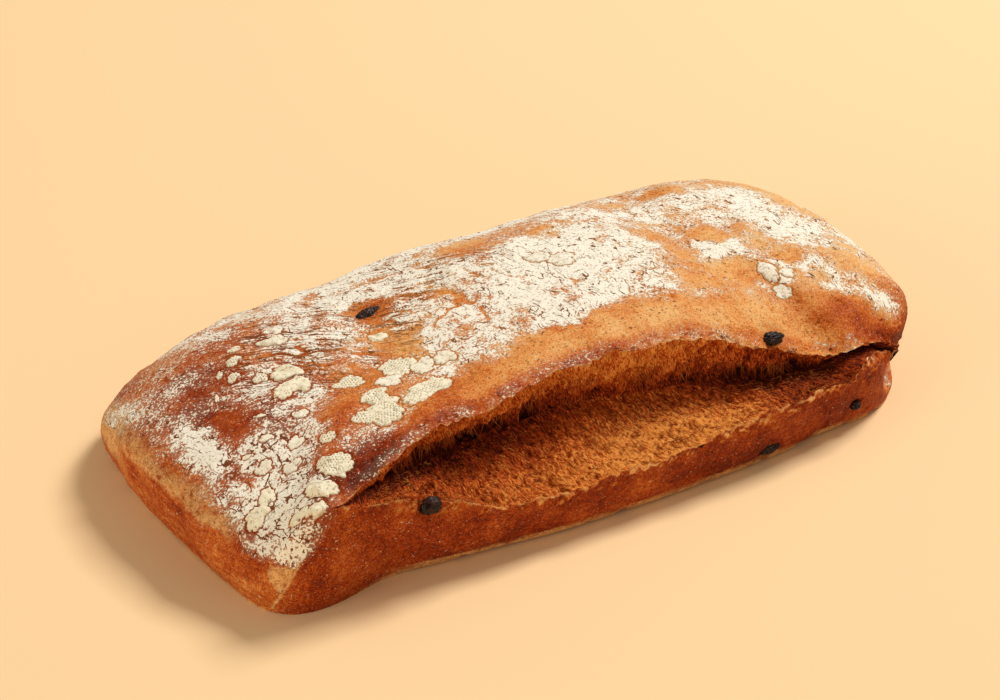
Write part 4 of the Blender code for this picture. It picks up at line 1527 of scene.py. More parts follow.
@dataclass(frozen=True)
class Browning:
    """How dark the crust is baked.

    Attributes:
        places: places along the loaf.
        shades: shade of the top at each place.
        darker: darker regions of the top.
        paler: paler regions of the top.
        wall: shade of the side walls.
        band: heights of the golden band on the left end.
        ridge: places along the pale ridge line up the front left corner.
        gold_wide: width of the golden triangle beside its upper end.
        ridge_line: half width of the ridge line.
        purple: middle of the dark spot on the left end.
        purple_size: its size.
        rim: middle and spread of the normals' height along the base's turned edge, whose pale gold is
            partly its own and partly painted highlight.
        rim_top: height up to which the turned edge goes.
        wall_patch: size of the wall's uneven patches.
        streak: size of the streaks on the left end.
    """

    places: Row = (-142, -110, -70, -40, 0, 50, 100, 142)
    shades: Row = (0.60, 0.62, 0.38, 0.29, 0.26, 0.23, 0.17, 0.14)
    darker: Patches = patches(
        (-117, -6, 17, 34, 0, 0.12), (-95, -62, 20, 8, 10, 0.25),
        (-30, -60, 44, 5, 4, 0.28), (106, -63, 28, 8, -25, 0.42), (128, -54, 12, 12, 0, 0.34),
        (-72, -57, 18, 6, 12, 0.16),
    )
    paler: Patches = patches(
        (22, -52, 62, 6, -1, 0.10), (-55, -12, 8, 14, 25, 0.14), (50, -10, 40, 20, 0, 0.06),
        (120, 10, 26, 60, 0, 0.10), (-95, 50, 30, 22, 0, 0.12),
    )
    wall: float = 0.72
    band: Pair = (20.5, 26.0)
    ridge: tuple[Triple, ...] = (
        (-130.0, -63.0, 3.0), (-128.0, -68.0, 11.0), (-125.5, -70.0, 17.0), (-122.5, -71.0, 24.0),
    )
    gold_wide: float = 8.5
    ridge_line: float = 0.55
    purple: Triple = (-140.0, -18.0, 19.0)
    purple_size: Triple = (9.0, 9.0, 3.4)
    rim: Pair = (-0.70, 0.16)
    rim_top: float = 4.5
    wall_patch: Triple = (16.0, 16.0, 5.0)
    streak: Triple = (9.0, 9.0, 0.9)

    def shade(self, points: Array, normals: Array) -> Array:
        """Shade at each point: by place along the top, and the wall's where the crust is steep.

        Args:
            points: places on the crust.
            normals: directions that the crust faces.

        Returns:
            Shade, from 0, pale, to 1, dark.
        """
        top = through(self.places, self.shades, points[:, 0])
        top = top + most_of(self.darker, points) - most_of(self.paler, points)
        steep = smooth_step(0.50 - normals[:, 2], 0.0, 0.45)
        far = smooth_step(normals[:, 1], 0.1, 0.8)
        end = smooth_step(-normals[:, 0], 0.3, 0.9)
        uneven = fractal_noise(points / self.wall_patch + 4.0, 3)
        wall = self.wall - 0.14 * far - 0.21 * end + 0.10 * uneven
        streak = lattice_noise(points / self.streak) * end
        mottle = 0.08 * fractal_noise(points / 15.0, 3) + 0.04 * fractal_noise(points / 2.4 + 9.0, 2)
        spot = np.linalg.norm((points - self.purple) / self.purple_size, axis=1)
        wall = wall + 0.22 * np.exp(-(spot**2)) + 0.14 * streak
        right = 0.04 * smooth_step(points[:, 0], 20.0, 60.0)
        right = right - 0.13 * smooth_step(points[:, 0], 92.0, 116.0)
        wall = wall + right * smooth_step(-points[:, 1], 20.0, 50.0)
        return top * (1 - steep) + wall * steep + mottle

    def from_ridge(self, points: Array) -> tuple[Array, Array]:
        """How far right of the corner's ridge line each point is in the picture, and the line.

        Args:
            points: places on the crust.

        Returns:
            Distances in millimetres, and 1 on the line and 0 away from it.
        """
        x, y, z = (np.array(values) for values in zip(*self.ridge))
        dx, dy = (points[:, i] - np.interp(points[:, 2], z, values) for i, values in enumerate((x, y)))
        angle = math.radians(PICTURE_TURN)
        across = dx * math.cos(angle) + dy * math.sin(angle)
        close = (np.hypot(dx, dy) < 8.0) & (points[:, 2] > 2.0) & (points[:, 2] < 23.0)
        return across, hump(across, self.ridge_line) * close

    def base_rim_and_highlight(self, points: Array, normals: Array) -> Array:
        """Where the base's edge turns up as a thin pale rim, from 0 to 1, partly its own paleness and
        partly painted highlight.

        Args:
            points: places on the crust.
            normals: directions that the crust faces.

        Returns:
            Share: exp(-((n - middle) / spread)^2) of the normals' height, broken along the edge.
        """
        middle, spread = self.rim
        # the rim is picked by the way it faces; its pale gold is partly painted highlight on the
        # protruding edge
        turned = hump(normals[:, 2] - middle, spread) * (points[:, 2] < self.rim_top)
        return turned * smooth_step(fractal_noise(points / 7.0 + 2.0, 3), -0.45, 0.10)

    def gold(self, points: Array, normals: Array) -> Array:
        """How golden the bare crust is: the left end's band, the corner and the base's rim, which is
        partly painted highlight.

        Args:
            points: places on the crust.
            normals: directions that the crust faces.

        Returns:
            Share, from 0 to 1.
        """
        rough = points[:, 2] + 3.0 * fractal_noise(points / 7.0 + 3.0, 3)
        low, high = self.band
        end = smooth_step(-normals[:, 0], 0.35, 0.8) * smooth_step(34.0 - points[:, 1], 0.0, 20.0)
        end = end * smooth_step(points[:, 1], -52.0, -42.0)
        band = smooth_step(rough, low, low + 2.5) * smooth_step(high + 3.5 - rough, 0.0, 4.0)
        band = band * end * 0.8
        band = band * smooth_step(fractal_noise(points / 2.2 + 6.0, 3), -0.75, 0.05)
        across, line = self.from_ridge(points)
        wide = self.gold_wide * smooth_step(points[:, 2], 6.0, 17.0)
        spot = smooth_step((across + wide) / 1.2) * smooth_step(0.4 - across) * (points[:, 2] < 19.0)
        spot = spot * (across < 1) * smooth_step(fractal_noise(points / 2.5, 2), -0.9, -0.1)
        spot = spot * (points[:, 0] < -116)
        spot = np.maximum(0.85 * spot, line)
        corner = smooth_step(points[:, 1], 14.0, 30.0) * smooth_step(-points[:, 0], 128.0, 136.0)
        corner = corner * smooth_step(rough, 10.0, 16.0) * 0.85
        return np.clip(np.max([band, spot, corner, self.base_rim_and_highlight(points, normals)], axis=0), 0, 1)


# Relief.


def zero_lines(points: Array, cell: Sequence[float], turn: float, width: float, seed: float) -> Array:
    """Wiggly lines where a stretched noise passes zero: exp(-(n / width)^2).

    Args:
        points: places.
        cell: size of the noise along the lines, across them and upwards.
        turn: degrees that the lines are turned from +X.
        width: how far from zero the line reaches.
        seed: which noise is used.

    Returns:
        1 on a line and 0 away from it.
    """
    cos, sin = math.cos(math.radians(turn)), math.sin(math.radians(turn))
    u = points[:, 0] * cos + points[:, 1] * sin
    v = points[:, 1] * cos - points[:, 0] * sin
    turned = np.stack([u, v, points[:, 2]], -1) / np.array(cell)
    line = lattice_noise(turned + seed) + 0.30 * lattice_noise(turned * 2.7 + seed + 5.0)
    return hump(line, width)


@dataclass
class CrustRelief:
    """Fine unevenness of the crust.

    Attributes:
        swell: height and size of the broad unevenness.
        wrinkle: depth of the stretch wrinkles.
        wrinkle_cell: size of the wrinkles along them, across them and upwards.
        wrinkle_turn: degrees that they are turned from +X.
        wrinkled: where the wrinkles are.
        tear: depth of the open tears in the flour.
        tear_cell: size of the tears along them, across them and upwards.
        tear_turn: degrees that they are turned from +X.
        torn: where the tears are.
        tiled: where the flour is cracked into tiles.
        flour_height: thickness of the heaviest flour.
        grain: height and size of the grain.
        pit: depth and size of small pits, which are also darkened as painted shade.
        blister: height and size of small blisters.
    """

    swell: Pair = (0.45, 9.0)
    wrinkle: float = 0.50
    wrinkle_cell: Triple = (20.0, 2.5, 9.0)
    wrinkle_turn: float = -33.0
    wrinkled: Patches = patches((-74, 6, 36, 32, -20, 1.0), (-30, 20, 36, 22, -30, 0.7))
    tear: float = 0.55
    tear_cell: Triple = (13.0, 6.5, 9.0)
    tear_turn: float = -84.0
    torn: Patches = patches((-26, -4, 22, 20, 0, 1.0), (4, -16, 14, 14, 0, 0.7))
    tiled: Patches = patches((-116, -50, 20, 28, 12, 1.0), (-48, -36, 14, 18, 0, 0.8))
    flour_height: float = 0.14
    grain: Pair = (0.11, 1.0)
    pit: Pair = (0.45, 1.9)
    blister: Pair = (0.22, 2.6)

    def heights(self, points: Array, normals: Array, flour: Array) -> tuple[Array, Array, Array]:
        """Height of the relief, the cracks with painted shade in the pits, and how much flour is left.

        Args:
            points: places on the crust.
            normals: directions that the crust faces.
            flour: thickness of the flour.

        Returns:
            Heights, cracks from 0 to 1 with painted shade in the pits, and the flour with its tears.
        """
        height = self.swell[0] * fractal_noise(points / self.swell[1], 3)
        warp = np.stack([lattice_noise(points / 4.6 + n) for n in (1.7, 14.2, 33.9)], -1)
        bent = points + 1.3 * warp
        up = smooth_step(normals[:, 2], 0.25, 0.6)

        fold = most_of(self.wrinkled, points) * up
        fold = fold * smooth_step(fractal_noise(points / 12.0 + 5.0, 2), -0.40, 0.15)
        groove = zero_lines(bent, self.wrinkle_cell, self.wrinkle_turn, 0.13, 0.0) * fold
        beside = zero_lines(bent, self.wrinkle_cell, self.wrinkle_turn, 0.42, 0.0) * fold - groove
        height += self.wrinkle * (0.6 * beside - groove)
        flour = flour + 0.50 * np.clip(beside, 0, 1) - 0.6 * groove

        tear = zero_lines(bent, self.tear_cell, self.tear_turn, 0.12, 60.0) * most_of(self.torn, points)
        tear = tear * smooth_step(fractal_noise(points / 9.0 + 15.0, 2), -0.05, 0.25)
        height -= self.tear * tear
        flour = flour * (1 - 0.95 * tear)

        height += self.flour_height * np.clip(flour, 0, 1)
        pit = lattice_noise(points / self.pit[1] + 61.0)
        height -= self.pit[0] * smooth_step(pit, 0.60, 0.95)
        height += self.blister[0] * smooth_step(lattice_noise(points / self.blister[1] + 3.0), 0.2, 0.9)
        height += self.grain[0] * lattice_noise(points / self.grain[1] + 13.0)
        dark = 0.8 * groove * smooth_step(flour, 0.0, 0.3)
        # painted shade: the pits are darkened as well as sunk
        crack_and_shade = np.maximum(dark, 0.35 * smooth_step(pit, 0.62, 0.9))
        return height, crack_and_shade, np.clip(flour, 0, MOST_FLOUR)


@dataclass
class CrumbRelief:
    """Torn crumb in the split: fibres along the tear, bubbles and hollows.

    Attributes:
        fibre: height of the fibres on the bed.
        bubble: depth and size of the bubbles.
        pore: depth and size of the pores.
        strand: height of the strands on the torn face.
        cavity: depth of the hollows where the face meets the bed, which the crumb's colour darkens as
            painted shade.
        hollow_rise: how far up the face the hollows are deepest, and how far they spread.
    """

    fibre: float = 0.50
    bubble: Pair = (0.8, 4.2)
    pore: Pair = (0.55, 1.7)
    strand: float = 0.95
    cavity: float = 2.4
    hollow_rise: Pair = (0.14, 0.18)

    def heights(self, place: Array, down: Array, points: Array, torn: Array, rise: Array) -> Array:
        """Height of the crumb's relief.

        Args:
            place: places along the loaf's outline.
            down: distance down the section from the lower lip.
            points: the places themselves.
            torn: 1 on the torn face and 0 on the bed.
            rise: how far up the torn face each point is, from 0 to 1.

        Returns:
            The heights.
        """
        slant = place + FIBRE_SLANT * down + 0.9 * lattice_noise(points / 3.0)
        fibres = lattice_noise(np.stack([slant / 0.90, down / 4.2, 0 * down], -1))
        fibres += 0.6 * lattice_noise(np.stack([slant / 0.60, down / 2.2, 0 * down + 5.0], -1))
        cells = Cells.of(points / self.bubble[1])
        holes = smooth_step(0.42 - cells.near, 0.0, 0.30) * (cells.chance > 0.45)
        pores = Cells.of(points / self.pore[1])
        pits = smooth_step(0.45 - pores.near, 0.0, 0.3) * (pores.chance > 0.55)
        bed = self.fibre * fibres - self.bubble[0] * holes - self.pore[0] * pits
        bed = bed + 0.15 * lattice_noise(points / 0.8)

        upright = place + 0.7 * lattice_noise(points / 2.5)
        strands = lattice_noise(np.stack([upright / 1.3, down / 4.0, 0 * down + 9.0], -1))
        strands += 0.5 * lattice_noise(np.stack([upright / 0.7, down / 2.2, 0 * down + 2.0], -1))
        clumps = fractal_noise(points / 3.6 + 7.0, 2)
        hollow = lattice_noise(np.stack([place / 4.5, 0 * down, 0 * down + 3.3], -1))
        hollow = smooth_step(hollow, 0.0, 0.5)
        hollow = hollow * hump(rise - self.hollow_rise[0], self.hollow_rise[1])
        face = self.strand * (0.7 * strands + 0.9 * clumps) - self.cavity * hollow
        face = face - 0.6 * self.pore[0] * pits
        return bed * (1 - torn) + face * torn


# The loaf.


@dataclass(frozen=True)
class TomatoBit:
    """A bit of dried tomato that shows in the crust.

    Attributes:
        node: its solid.
        size: length, width and depth.
        facing: the way that it looks out of the crust.
    """

    node: str
    size: Triple
    facing: Triple

    @property
    def centre(self) -> Array:
        """Middle of its solid."""
        low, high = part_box(self.node)
        return (np.array(low) + np.array(high)) / 2 / METRES


TOMATO_BITS = (
    TomatoBit("tomato_piece_lower_lip", (8.0, 6.4, 6.4), (0.0, -0.8, 0.6)),
    TomatoBit("tomato_piece_upper_lip", (11.0, 5.4, 6.0), (0.1, -0.8, 0.6)),
    TomatoBit("tomato_piece_base_edge", (10.5, 5.2, 5.0), (0.0, -1.0, -0.1)),
    TomatoBit("tomato_piece_top", (13.0, 6.0, 5.0), (0.0, 0.0, 1.0)),
    TomatoBit("tomato_piece_side", (5.0, 4.0, 4.2), (0.3, -0.9, 0.1)),
)


@dataclass(frozen=True)
class Plaque:
    """A lobed plaque of dried flour on the crust.

    Attributes:
        x: middle along the loaf.
        y: middle across the loaf.
        wide: half width across the picture.
        deep: half depth into the picture.
        height: thickness.
        white: 0 where it is cream and 1 where it is as white as the flour.
        turn: degrees that it is turned from facing the picture.
        lumps: size of its rounded lumps, or 0 where it is flat.
        printed: whether it has the print of a cloth.
    """

    x: float
    y: float
    wide: float
    deep: float
    height: float
    white: float = 0.0
    turn: float = 0.0
    lumps: float = 0.0
    printed: bool = False

    @property
    def lie(self) -> Pair:
        """Cosine and sine of its turn from +X."""
        angle = math.radians(PICTURE_TURN + self.turn)
        return math.cos(angle), math.sin(angle)

    def reach(self, turn: Array) -> Array:
        """Outline as a share of the half sizes: a circle with lobes of 2 to 27 waves.

        Args:
            turn: angles round the middle.

        Returns:
            The share at each angle.
        """
        seed = self.x * 0.37 + self.y * 0.73
        waves = (2, 3, 4, 5, 7, 11, 17, 27)
        sizes = (0.07, 0.10, 0.06, 0.07, 0.06, 0.05, 0.035, 0.022)
        return 1.00 + sum(size * np.sin(n * turn + seed * n * 1.7) for n, size in zip(waves, sizes))

    def share(self, points: Array) -> Array:
        """How far out each point is: 0 in the middle and 1 on the outline.

        Args:
            points: places, with x, y and z in the last axis.

        Returns:
            One number for each place.
        """
        dx, dy = points[..., 0] - self.x, points[..., 1] - self.y
        cos, sin = self.lie
        u, v = (dx * cos + dy * sin) / self.wide, (dy * cos - dx * sin) / self.deep
        return np.hypot(u, v) / self.reach(np.arctan2(v, u))


PLAQUES = tuple(Plaque(*row) for row in (
    (-62.5, -24, 5.4, 6.2, 0.7, 0, 10, 0, True), (-56, -29.5, 3.4, 5.2, 0.5, 0.5),
    (-69.5, -31, 4.4, 3.4, 0.5, 0.7), (-63.5, -44, 4.8, 9.6, 0.9, 0, -34, 0, True),
    (-80, -46.5, 6, 6.8, 0.9, 0, -20, 0, True), (-78, -37, 4.6, 4.6, 0.8, 0, 0, 0, True),
    (-87, -44.5, 2.7, 3, 0.7, 0, 0, 0, True), (-79.5, -23, 4.6, 4, 0.6, 0, 0, 0, True),
    (-48.5, -30.5, 3.4, 3.8, 0.6, 0.4), (-105, -60, 5.2, 5.4, 0.9, 0, 0, 0, True),
    (-92, -3.5, 5, 3.8, 1.5, 0, 0, 9), (-97.5, -12, 3.2, 4.2, 1.5, 0, 0, 9),
    (-92.5, -12.5, 4.2, 4.4, 1.5, 0, 30, 9), (-86.5, 16.5, 4.8, 2.8, 1.2, 0.4, 0, 6),
    (-83, 23, 3.4, 2.6, 0.7, 0.8, 0, 5), (-113, -66, 5, 3, 1.5, 0, -10, 9),
    (-117.4, -70.6, 3.4, 1.9, 1.6, 0, 0, 9), (-121.4, -66.6, 2.8, 1.7, 1.3, 0, 0, 9),
    (-128, -51.5, 3.4, 3.2, 0.8), (-123, -48.5, 2.4, 3.4, 0.7), (-57.5, -3, 3.2, 2.6, 1, 0, 0, 6),
    (12.5, -6.5, 4.6, 4.6, 0.4, 0.9, 20), (7, -0.5, 4, 3.8, 0.4, 0.9, 20),
    (79.5, -35, 2.8, 4.6, 0.7, 1, 40), (79.5, -43.5, 3.4, 2, 0.6, 1), (85, -38.5, 2.8, 2, 0.6, 1),
    (37, -29, 2, 1.8, 0.5, 1), (-101.5, 16, 2.3, 2.6, 0.5, 0, 0, 0, True),
    (-98, 22, 2, 1.9, 0.5, 0, 0, 0, True), (-105.5, 8, 1.8, 2.6, 0.5, 0, 0, 0, True),
    (-99.5, 0.5, 2.3, 2.4, 0.6, 0.5, 0, 0, True), (-108, 13, 1.1, 1.9, 0.4),
    (-114, 3, 0.7, 2.2, 0.4, 0, 10), (-107, -38, 2.6, 2.6, 0.5, 0.8), (-112.5, -46, 2.8, 2.2, 0.5, 0.8),
    (-118.5, -38.5, 2.4, 2.4, 0.5, 0.8), (-99.5, -27.5, 2.4, 2.2, 0.5, 0.8),
    (-112.5, -28.5, 2.2, 1.4, 0.5, 0.6), (-100.5, -47, 2.4, 2.4, 0.6, 0, 0, 0, True),
    (-120, -30, 1.6, 0.9, 0.3), (-109, -18, 1.8, 0.7, 0.3),
))


@dataclass
class Loaf:
    """The loaf's crust and torn crumb, with relief, flour and browning.

    Attributes:
        skin: the fine skin.
        flour: where flour lies.
        browning: how dark the crust is.
        crust: the crust's relief.
        crumb: the crumb's relief.
        lip_reach: how far from a lip its waves reach.
        lip_waves: height and size of the lips' waves.
        lip_rim: how far the lower lip's edge stands up, and its width.
        dusty_lip: how far above the split its dust is thickest, and how far it spreads.
        dark_lip: the same of the dark crust above the split.
        rim_reach: width of the bright edge on the lips.
        ring_width: width of the groove round a plaque, which is also darkened as painted shade.
        dent: depth of the crust round the bits of tomato.
        rim_height: how far the base's turned edge stands out.
        shade_places: places along the split.
        shade_more: how much darker the crumb is at each place.
    """

    skin: LoafSkin
    flour: FlourLayout = FlourLayout()
    browning: Browning = Browning()
    crust: CrustRelief = field(default_factory=CrustRelief)
    crumb: CrumbRelief = field(default_factory=CrumbRelief)
    lip_reach: float = 3.0
    lip_waves: tuple[Pair, ...] = ((1.2, 5.5), (0.75, 2.1), (0.35, 0.9))
    lip_rim: Pair = (0.35, 1.1)
    dusty_lip: Pair = (2.0, 4.5)
    dark_lip: Pair = (3.5, 3.0)
    rim_reach: float = 0.40
    ring_width: float = 0.36
    dent: float = 0.9
    rim_height: float = 0.45
    shade_places: Row = (-116, -85, -50, -25, 10, 40, 64, 140)
    shade_more: Row = (0.42, 0.34, 0.16, 0.02, -0.24, 0.02, 0.52, 0.60)

    def wave_lips(self) -> None:
        """Make both lips of the split ragged, most on the lip itself: exp(-(d / reach)^2)."""
        skin = self.skin
        outward = skin.outward(np.arange(len(skin.points)))
        shift = np.zeros_like(skin.points)
        for distance, seed in ((skin.from_row(Band.TORN), 0.0), (skin.from_row(Band.WALL), 31.0)):
            share = hump(distance, self.lip_reach) * skin.of_column("open")
            for height, size in self.lip_waves:
                shift += (share * height * lattice_noise(skin.points / size + seed))[:, None] * outward
                shift[:, 2] += 0.8 * share * height * lattice_noise(skin.points / size + seed + 9.0)
        stands, width = self.lip_rim
        shift[:, 2] += stands * (hump(skin.from_row(Band.WALL), width) * skin.of_column("open"))
        skin.move(shift)

    def plaque_ring_and_shade(self, points: Array) -> Array:
        """How close each point is to the foot of a plaque, where the crust is sunk and darkened with
        painted shade.

        Args:
            points: places on the crust.

        Returns:
            1 at a foot and 0 away from it.
        """
        ring = np.zeros(len(points))
        for plaque in PLAQUES:
            gap = (plaque.share(points) - 1.05) * (plaque.wide + plaque.deep) / 2
            ring = np.maximum(ring, hump(gap, self.ring_width))
        return ring

    def round_tomato(self, points: Array) -> Array:
        """How close each point is to a bit of tomato, exp(-(d / r)^4).

        Args:
            points: places on the crust.

        Returns:
            1 at a bit and 0 away from it.
        """
        near = np.zeros(len(points))
        for bit in TOMATO_BITS:
            away = np.linalg.norm(points - bit.centre, axis=1) / (0.62 * bit.size[0])
            near = np.maximum(near, np.exp(-(away**4)))
        return near

    def relieve(self) -> None:
        """Give the skin its relief and the fields that the finishes read."""
        skin = self.skin
        self.wave_lips()
        place = skin.grid.place[skin.column]
        lower, upper = skin.from_row(Band.WALL), skin.from_row(Band.TORN)
        split, dome = skin.is_in(Band.BED, Band.TORN), skin.is_in(Band.DOME)
        torn = skin.is_in(Band.TORN).astype(float)
        lip = np.minimum(np.abs(lower), np.abs(upper))
        crust_share = np.where(split, hump(lip, 1.0), 1.0)
        opened = skin.of_column("open")

        flour = self.flour.thickness(skin.points, skin.normals)
        near_lip = hump(upper - self.dusty_lip[0], self.dusty_lip[1]) * opened * dome
        dusty = 0.55 + 0.9 * fractal_noise(skin.points / 6.0 + 4.0, 3)
        lip_dust = self.flour.lip_dust * near_lip * smooth_step(80.0 - skin.points[:, 0], 0.0, 14.0)
        flour = np.maximum(flour * (1 - 0.7 * near_lip), lip_dust * np.clip(dusty, 0, 1))
        ring = self.plaque_ring_and_shade(skin.points) * dome
        bits = self.round_tomato(skin.points)
        crust_height, crack_and_shade, flour = self.crust.heights(skin.points, skin.normals, flour)
        crust_height = crust_height - 0.25 * ring - self.dent * bits
        crumb_height = self.crumb.heights(place, lower, skin.points, torn, skin.t)
        crumb_height *= smooth_step(skin.of_column("lift") / 12.0)
        above_floor = smooth_step((skin.points[:, 2] - 0.2) / 4.0)
        height = (crust_height * crust_share + crumb_height * (1 - crust_share)) * above_floor
        height = height + self.rim_height * self.browning.base_rim_and_highlight(skin.points, skin.smooth_normals)
        skin.push(height)

        edge = hump(lip, self.rim_reach) * opened
        glow = 0.9 * edge * smooth_step(lattice_noise(skin.points / 1.7 + 5.0), -0.15, 0.55)
        gold = self.browning.gold(skin.points, skin.smooth_normals) * (1 - split)
        bake = self.browning.shade(skin.points, skin.normals)
        dark_lip = hump(upper - self.dark_lip[0], self.dark_lip[1]) * opened * dome
        bake = bake + 0.16 * dark_lip + 0.15 * bits
        # painted shade: the crumb darkens towards the crease on the bed and on the torn face
        bed_toast_and_shade = 0.14 + 0.56 * smooth_step(skin.t, 0.25, 1.0)
        torn_toast_and_shade = 0.76 - 0.46 * smooth_step(skin.t, 0.05, 0.55)
        torn_toast_and_shade = torn_toast_and_shade + 0.10 * smooth_step(place, 0.0, 40.0)
        # painted shade darkens the crumb's hollows, and painted highlight lightens its raised bits
        toast_and_shade = np.where(torn > 0, torn_toast_and_shade, bed_toast_and_shade) - 0.16 * np.clip(crumb_height, -2.0, 1.2)
        darker = through(self.shade_places, self.shade_more, place)
        toast_and_shade = toast_and_shade + darker * np.where(torn > 0, 0.45, 1.0)
        skin.fields = {
            "bake": np.clip(bake, 0, 1),
            "flour": flour * (1 - 0.6 * ring) * (1 - bits),
            # painted shade round the foot of each plaque is added to the crack field
            "crack_and_shade": np.clip(np.maximum(crack_and_shade, 0.6 * ring), 0, 1),
            "fold": np.clip(most_of(self.crust.wrinkled, skin.points), 0, 1) * ~split,
            "tiled": np.clip(most_of(self.crust.tiled, skin.points), 0, 1),
            "glow": np.clip(np.maximum(glow, gold), 0, 1),
            "along": place + FIBRE_SLANT * lower,
            "down": lower,
            "toast_and_shade": np.clip(toast_and_shade, 0, 1),
        }

    def build(self) -> list[Piece]:
        """Make the crust's pieces and the crumb's.

        Returns:
            The pieces.
        """
        self.relieve()
        skin = self.skin
        crust, crumb = CrustFinish().material(), CrumbFinish().material()
        band, share = skin.face_band, skin.face_share
        front = skin.face_front
        dome, wall = band == Band.DOME, np.isin(band, (Band.WALL, Band.BASE))
        parts = (
            ("crust_brow_front", dome & front & (share <= 0.5), crust),
            ("crust_crown_front", dome & front & (share > 0.5), crust),
            ("crust_brow_back", dome & ~front & (share <= 0.5), crust),
            ("crust_crown_back", dome & ~front & (share > 0.5), crust),
            ("crust_wall_front", wall & front, crust),
            ("crust_wall_back", wall & ~front, crust),
            ("crumb_bed", band == Band.BED, crumb),
            ("crumb_torn_face", band == Band.TORN, crumb),
        )
        return [skin.cut_out(name, faces, finish) for name, faces, finish in parts]


@dataclass
class HeightMap:
    """Heights of the loaf's top over a grid seen from above.

    Attributes:
        skin: the fine skin.
        step: size of the grid's squares.
        soften: how many times neighbours are averaged.
        spread: how many squares the edge's height is carried outwards.
        low: the grid's corner.
        heights: height in each square.
    """

    skin: LoafSkin
    step: float = 0.6
    soften: int = 3
    spread: int = 14
    low: Array = field(init=False)
    heights: Array = field(init=False)

    def __post_init__(self) -> None:
        """Average the dome's points in each square, then fill and soften."""
        points = self.skin.points[self.skin.is_in(Band.DOME)]
        self.low = points[:, :2].min(0) - 2 * self.step
        size = np.ceil((points[:, :2].max(0) - self.low) / self.step).astype(int) + 3
        cell = np.floor((points[:, :2] - self.low) / self.step).astype(int)
        code = cell[:, 0] * size[1] + cell[:, 1]
        count = np.bincount(code, minlength=size.prod()).astype(float)
        total = np.bincount(code, points[:, 2], size.prod())
        count, total = count.reshape(size), total.reshape(size)
        for _ in range(self.soften):
            count, total = self.blur(count), self.blur(total)
        for _ in range(self.spread):
            empty = count < 1e-6
            count = np.where(empty, self.blur(count), count)
            total = np.where(empty, self.blur(total), total)
        self.heights = total / np.maximum(count, 1e-12)

    @staticmethod
    def blur(grid: Array) -> Array:
        """Each square's average with its neighbours.

        Args:
            grid: a number for each square.

        Returns:
            The averages.
        """
        for axis in (0, 1):
            grid = (np.roll(grid, 1, axis) + 2 * grid + np.roll(grid, -1, axis)) / 4
        return grid

    def at(self, x: Array, y: Array) -> Array:
        """Height at each place, blended between the squares' middles.

        Args:
            x: places along the loaf.
            y: places across the loaf.

        Returns:
            The heights.
        """
        u, v = (x - self.low[0]) / self.step - 0.5, (y - self.low[1]) / self.step - 0.5
        h = self.heights
        u, v = np.clip(u, 0, h.shape[0] - 1.001), np.clip(v, 0, h.shape[1] - 1.001)
        i, j = np.floor(u).astype(int), np.floor(v).astype(int)
        a, b = u - i, v - j
        return (
            h[i, j] * (1 - a) * (1 - b) + h[i + 1, j] * a * (1 - b)
            + h[i, j + 1] * (1 - a) * b + h[i + 1, j + 1] * a * b
        )


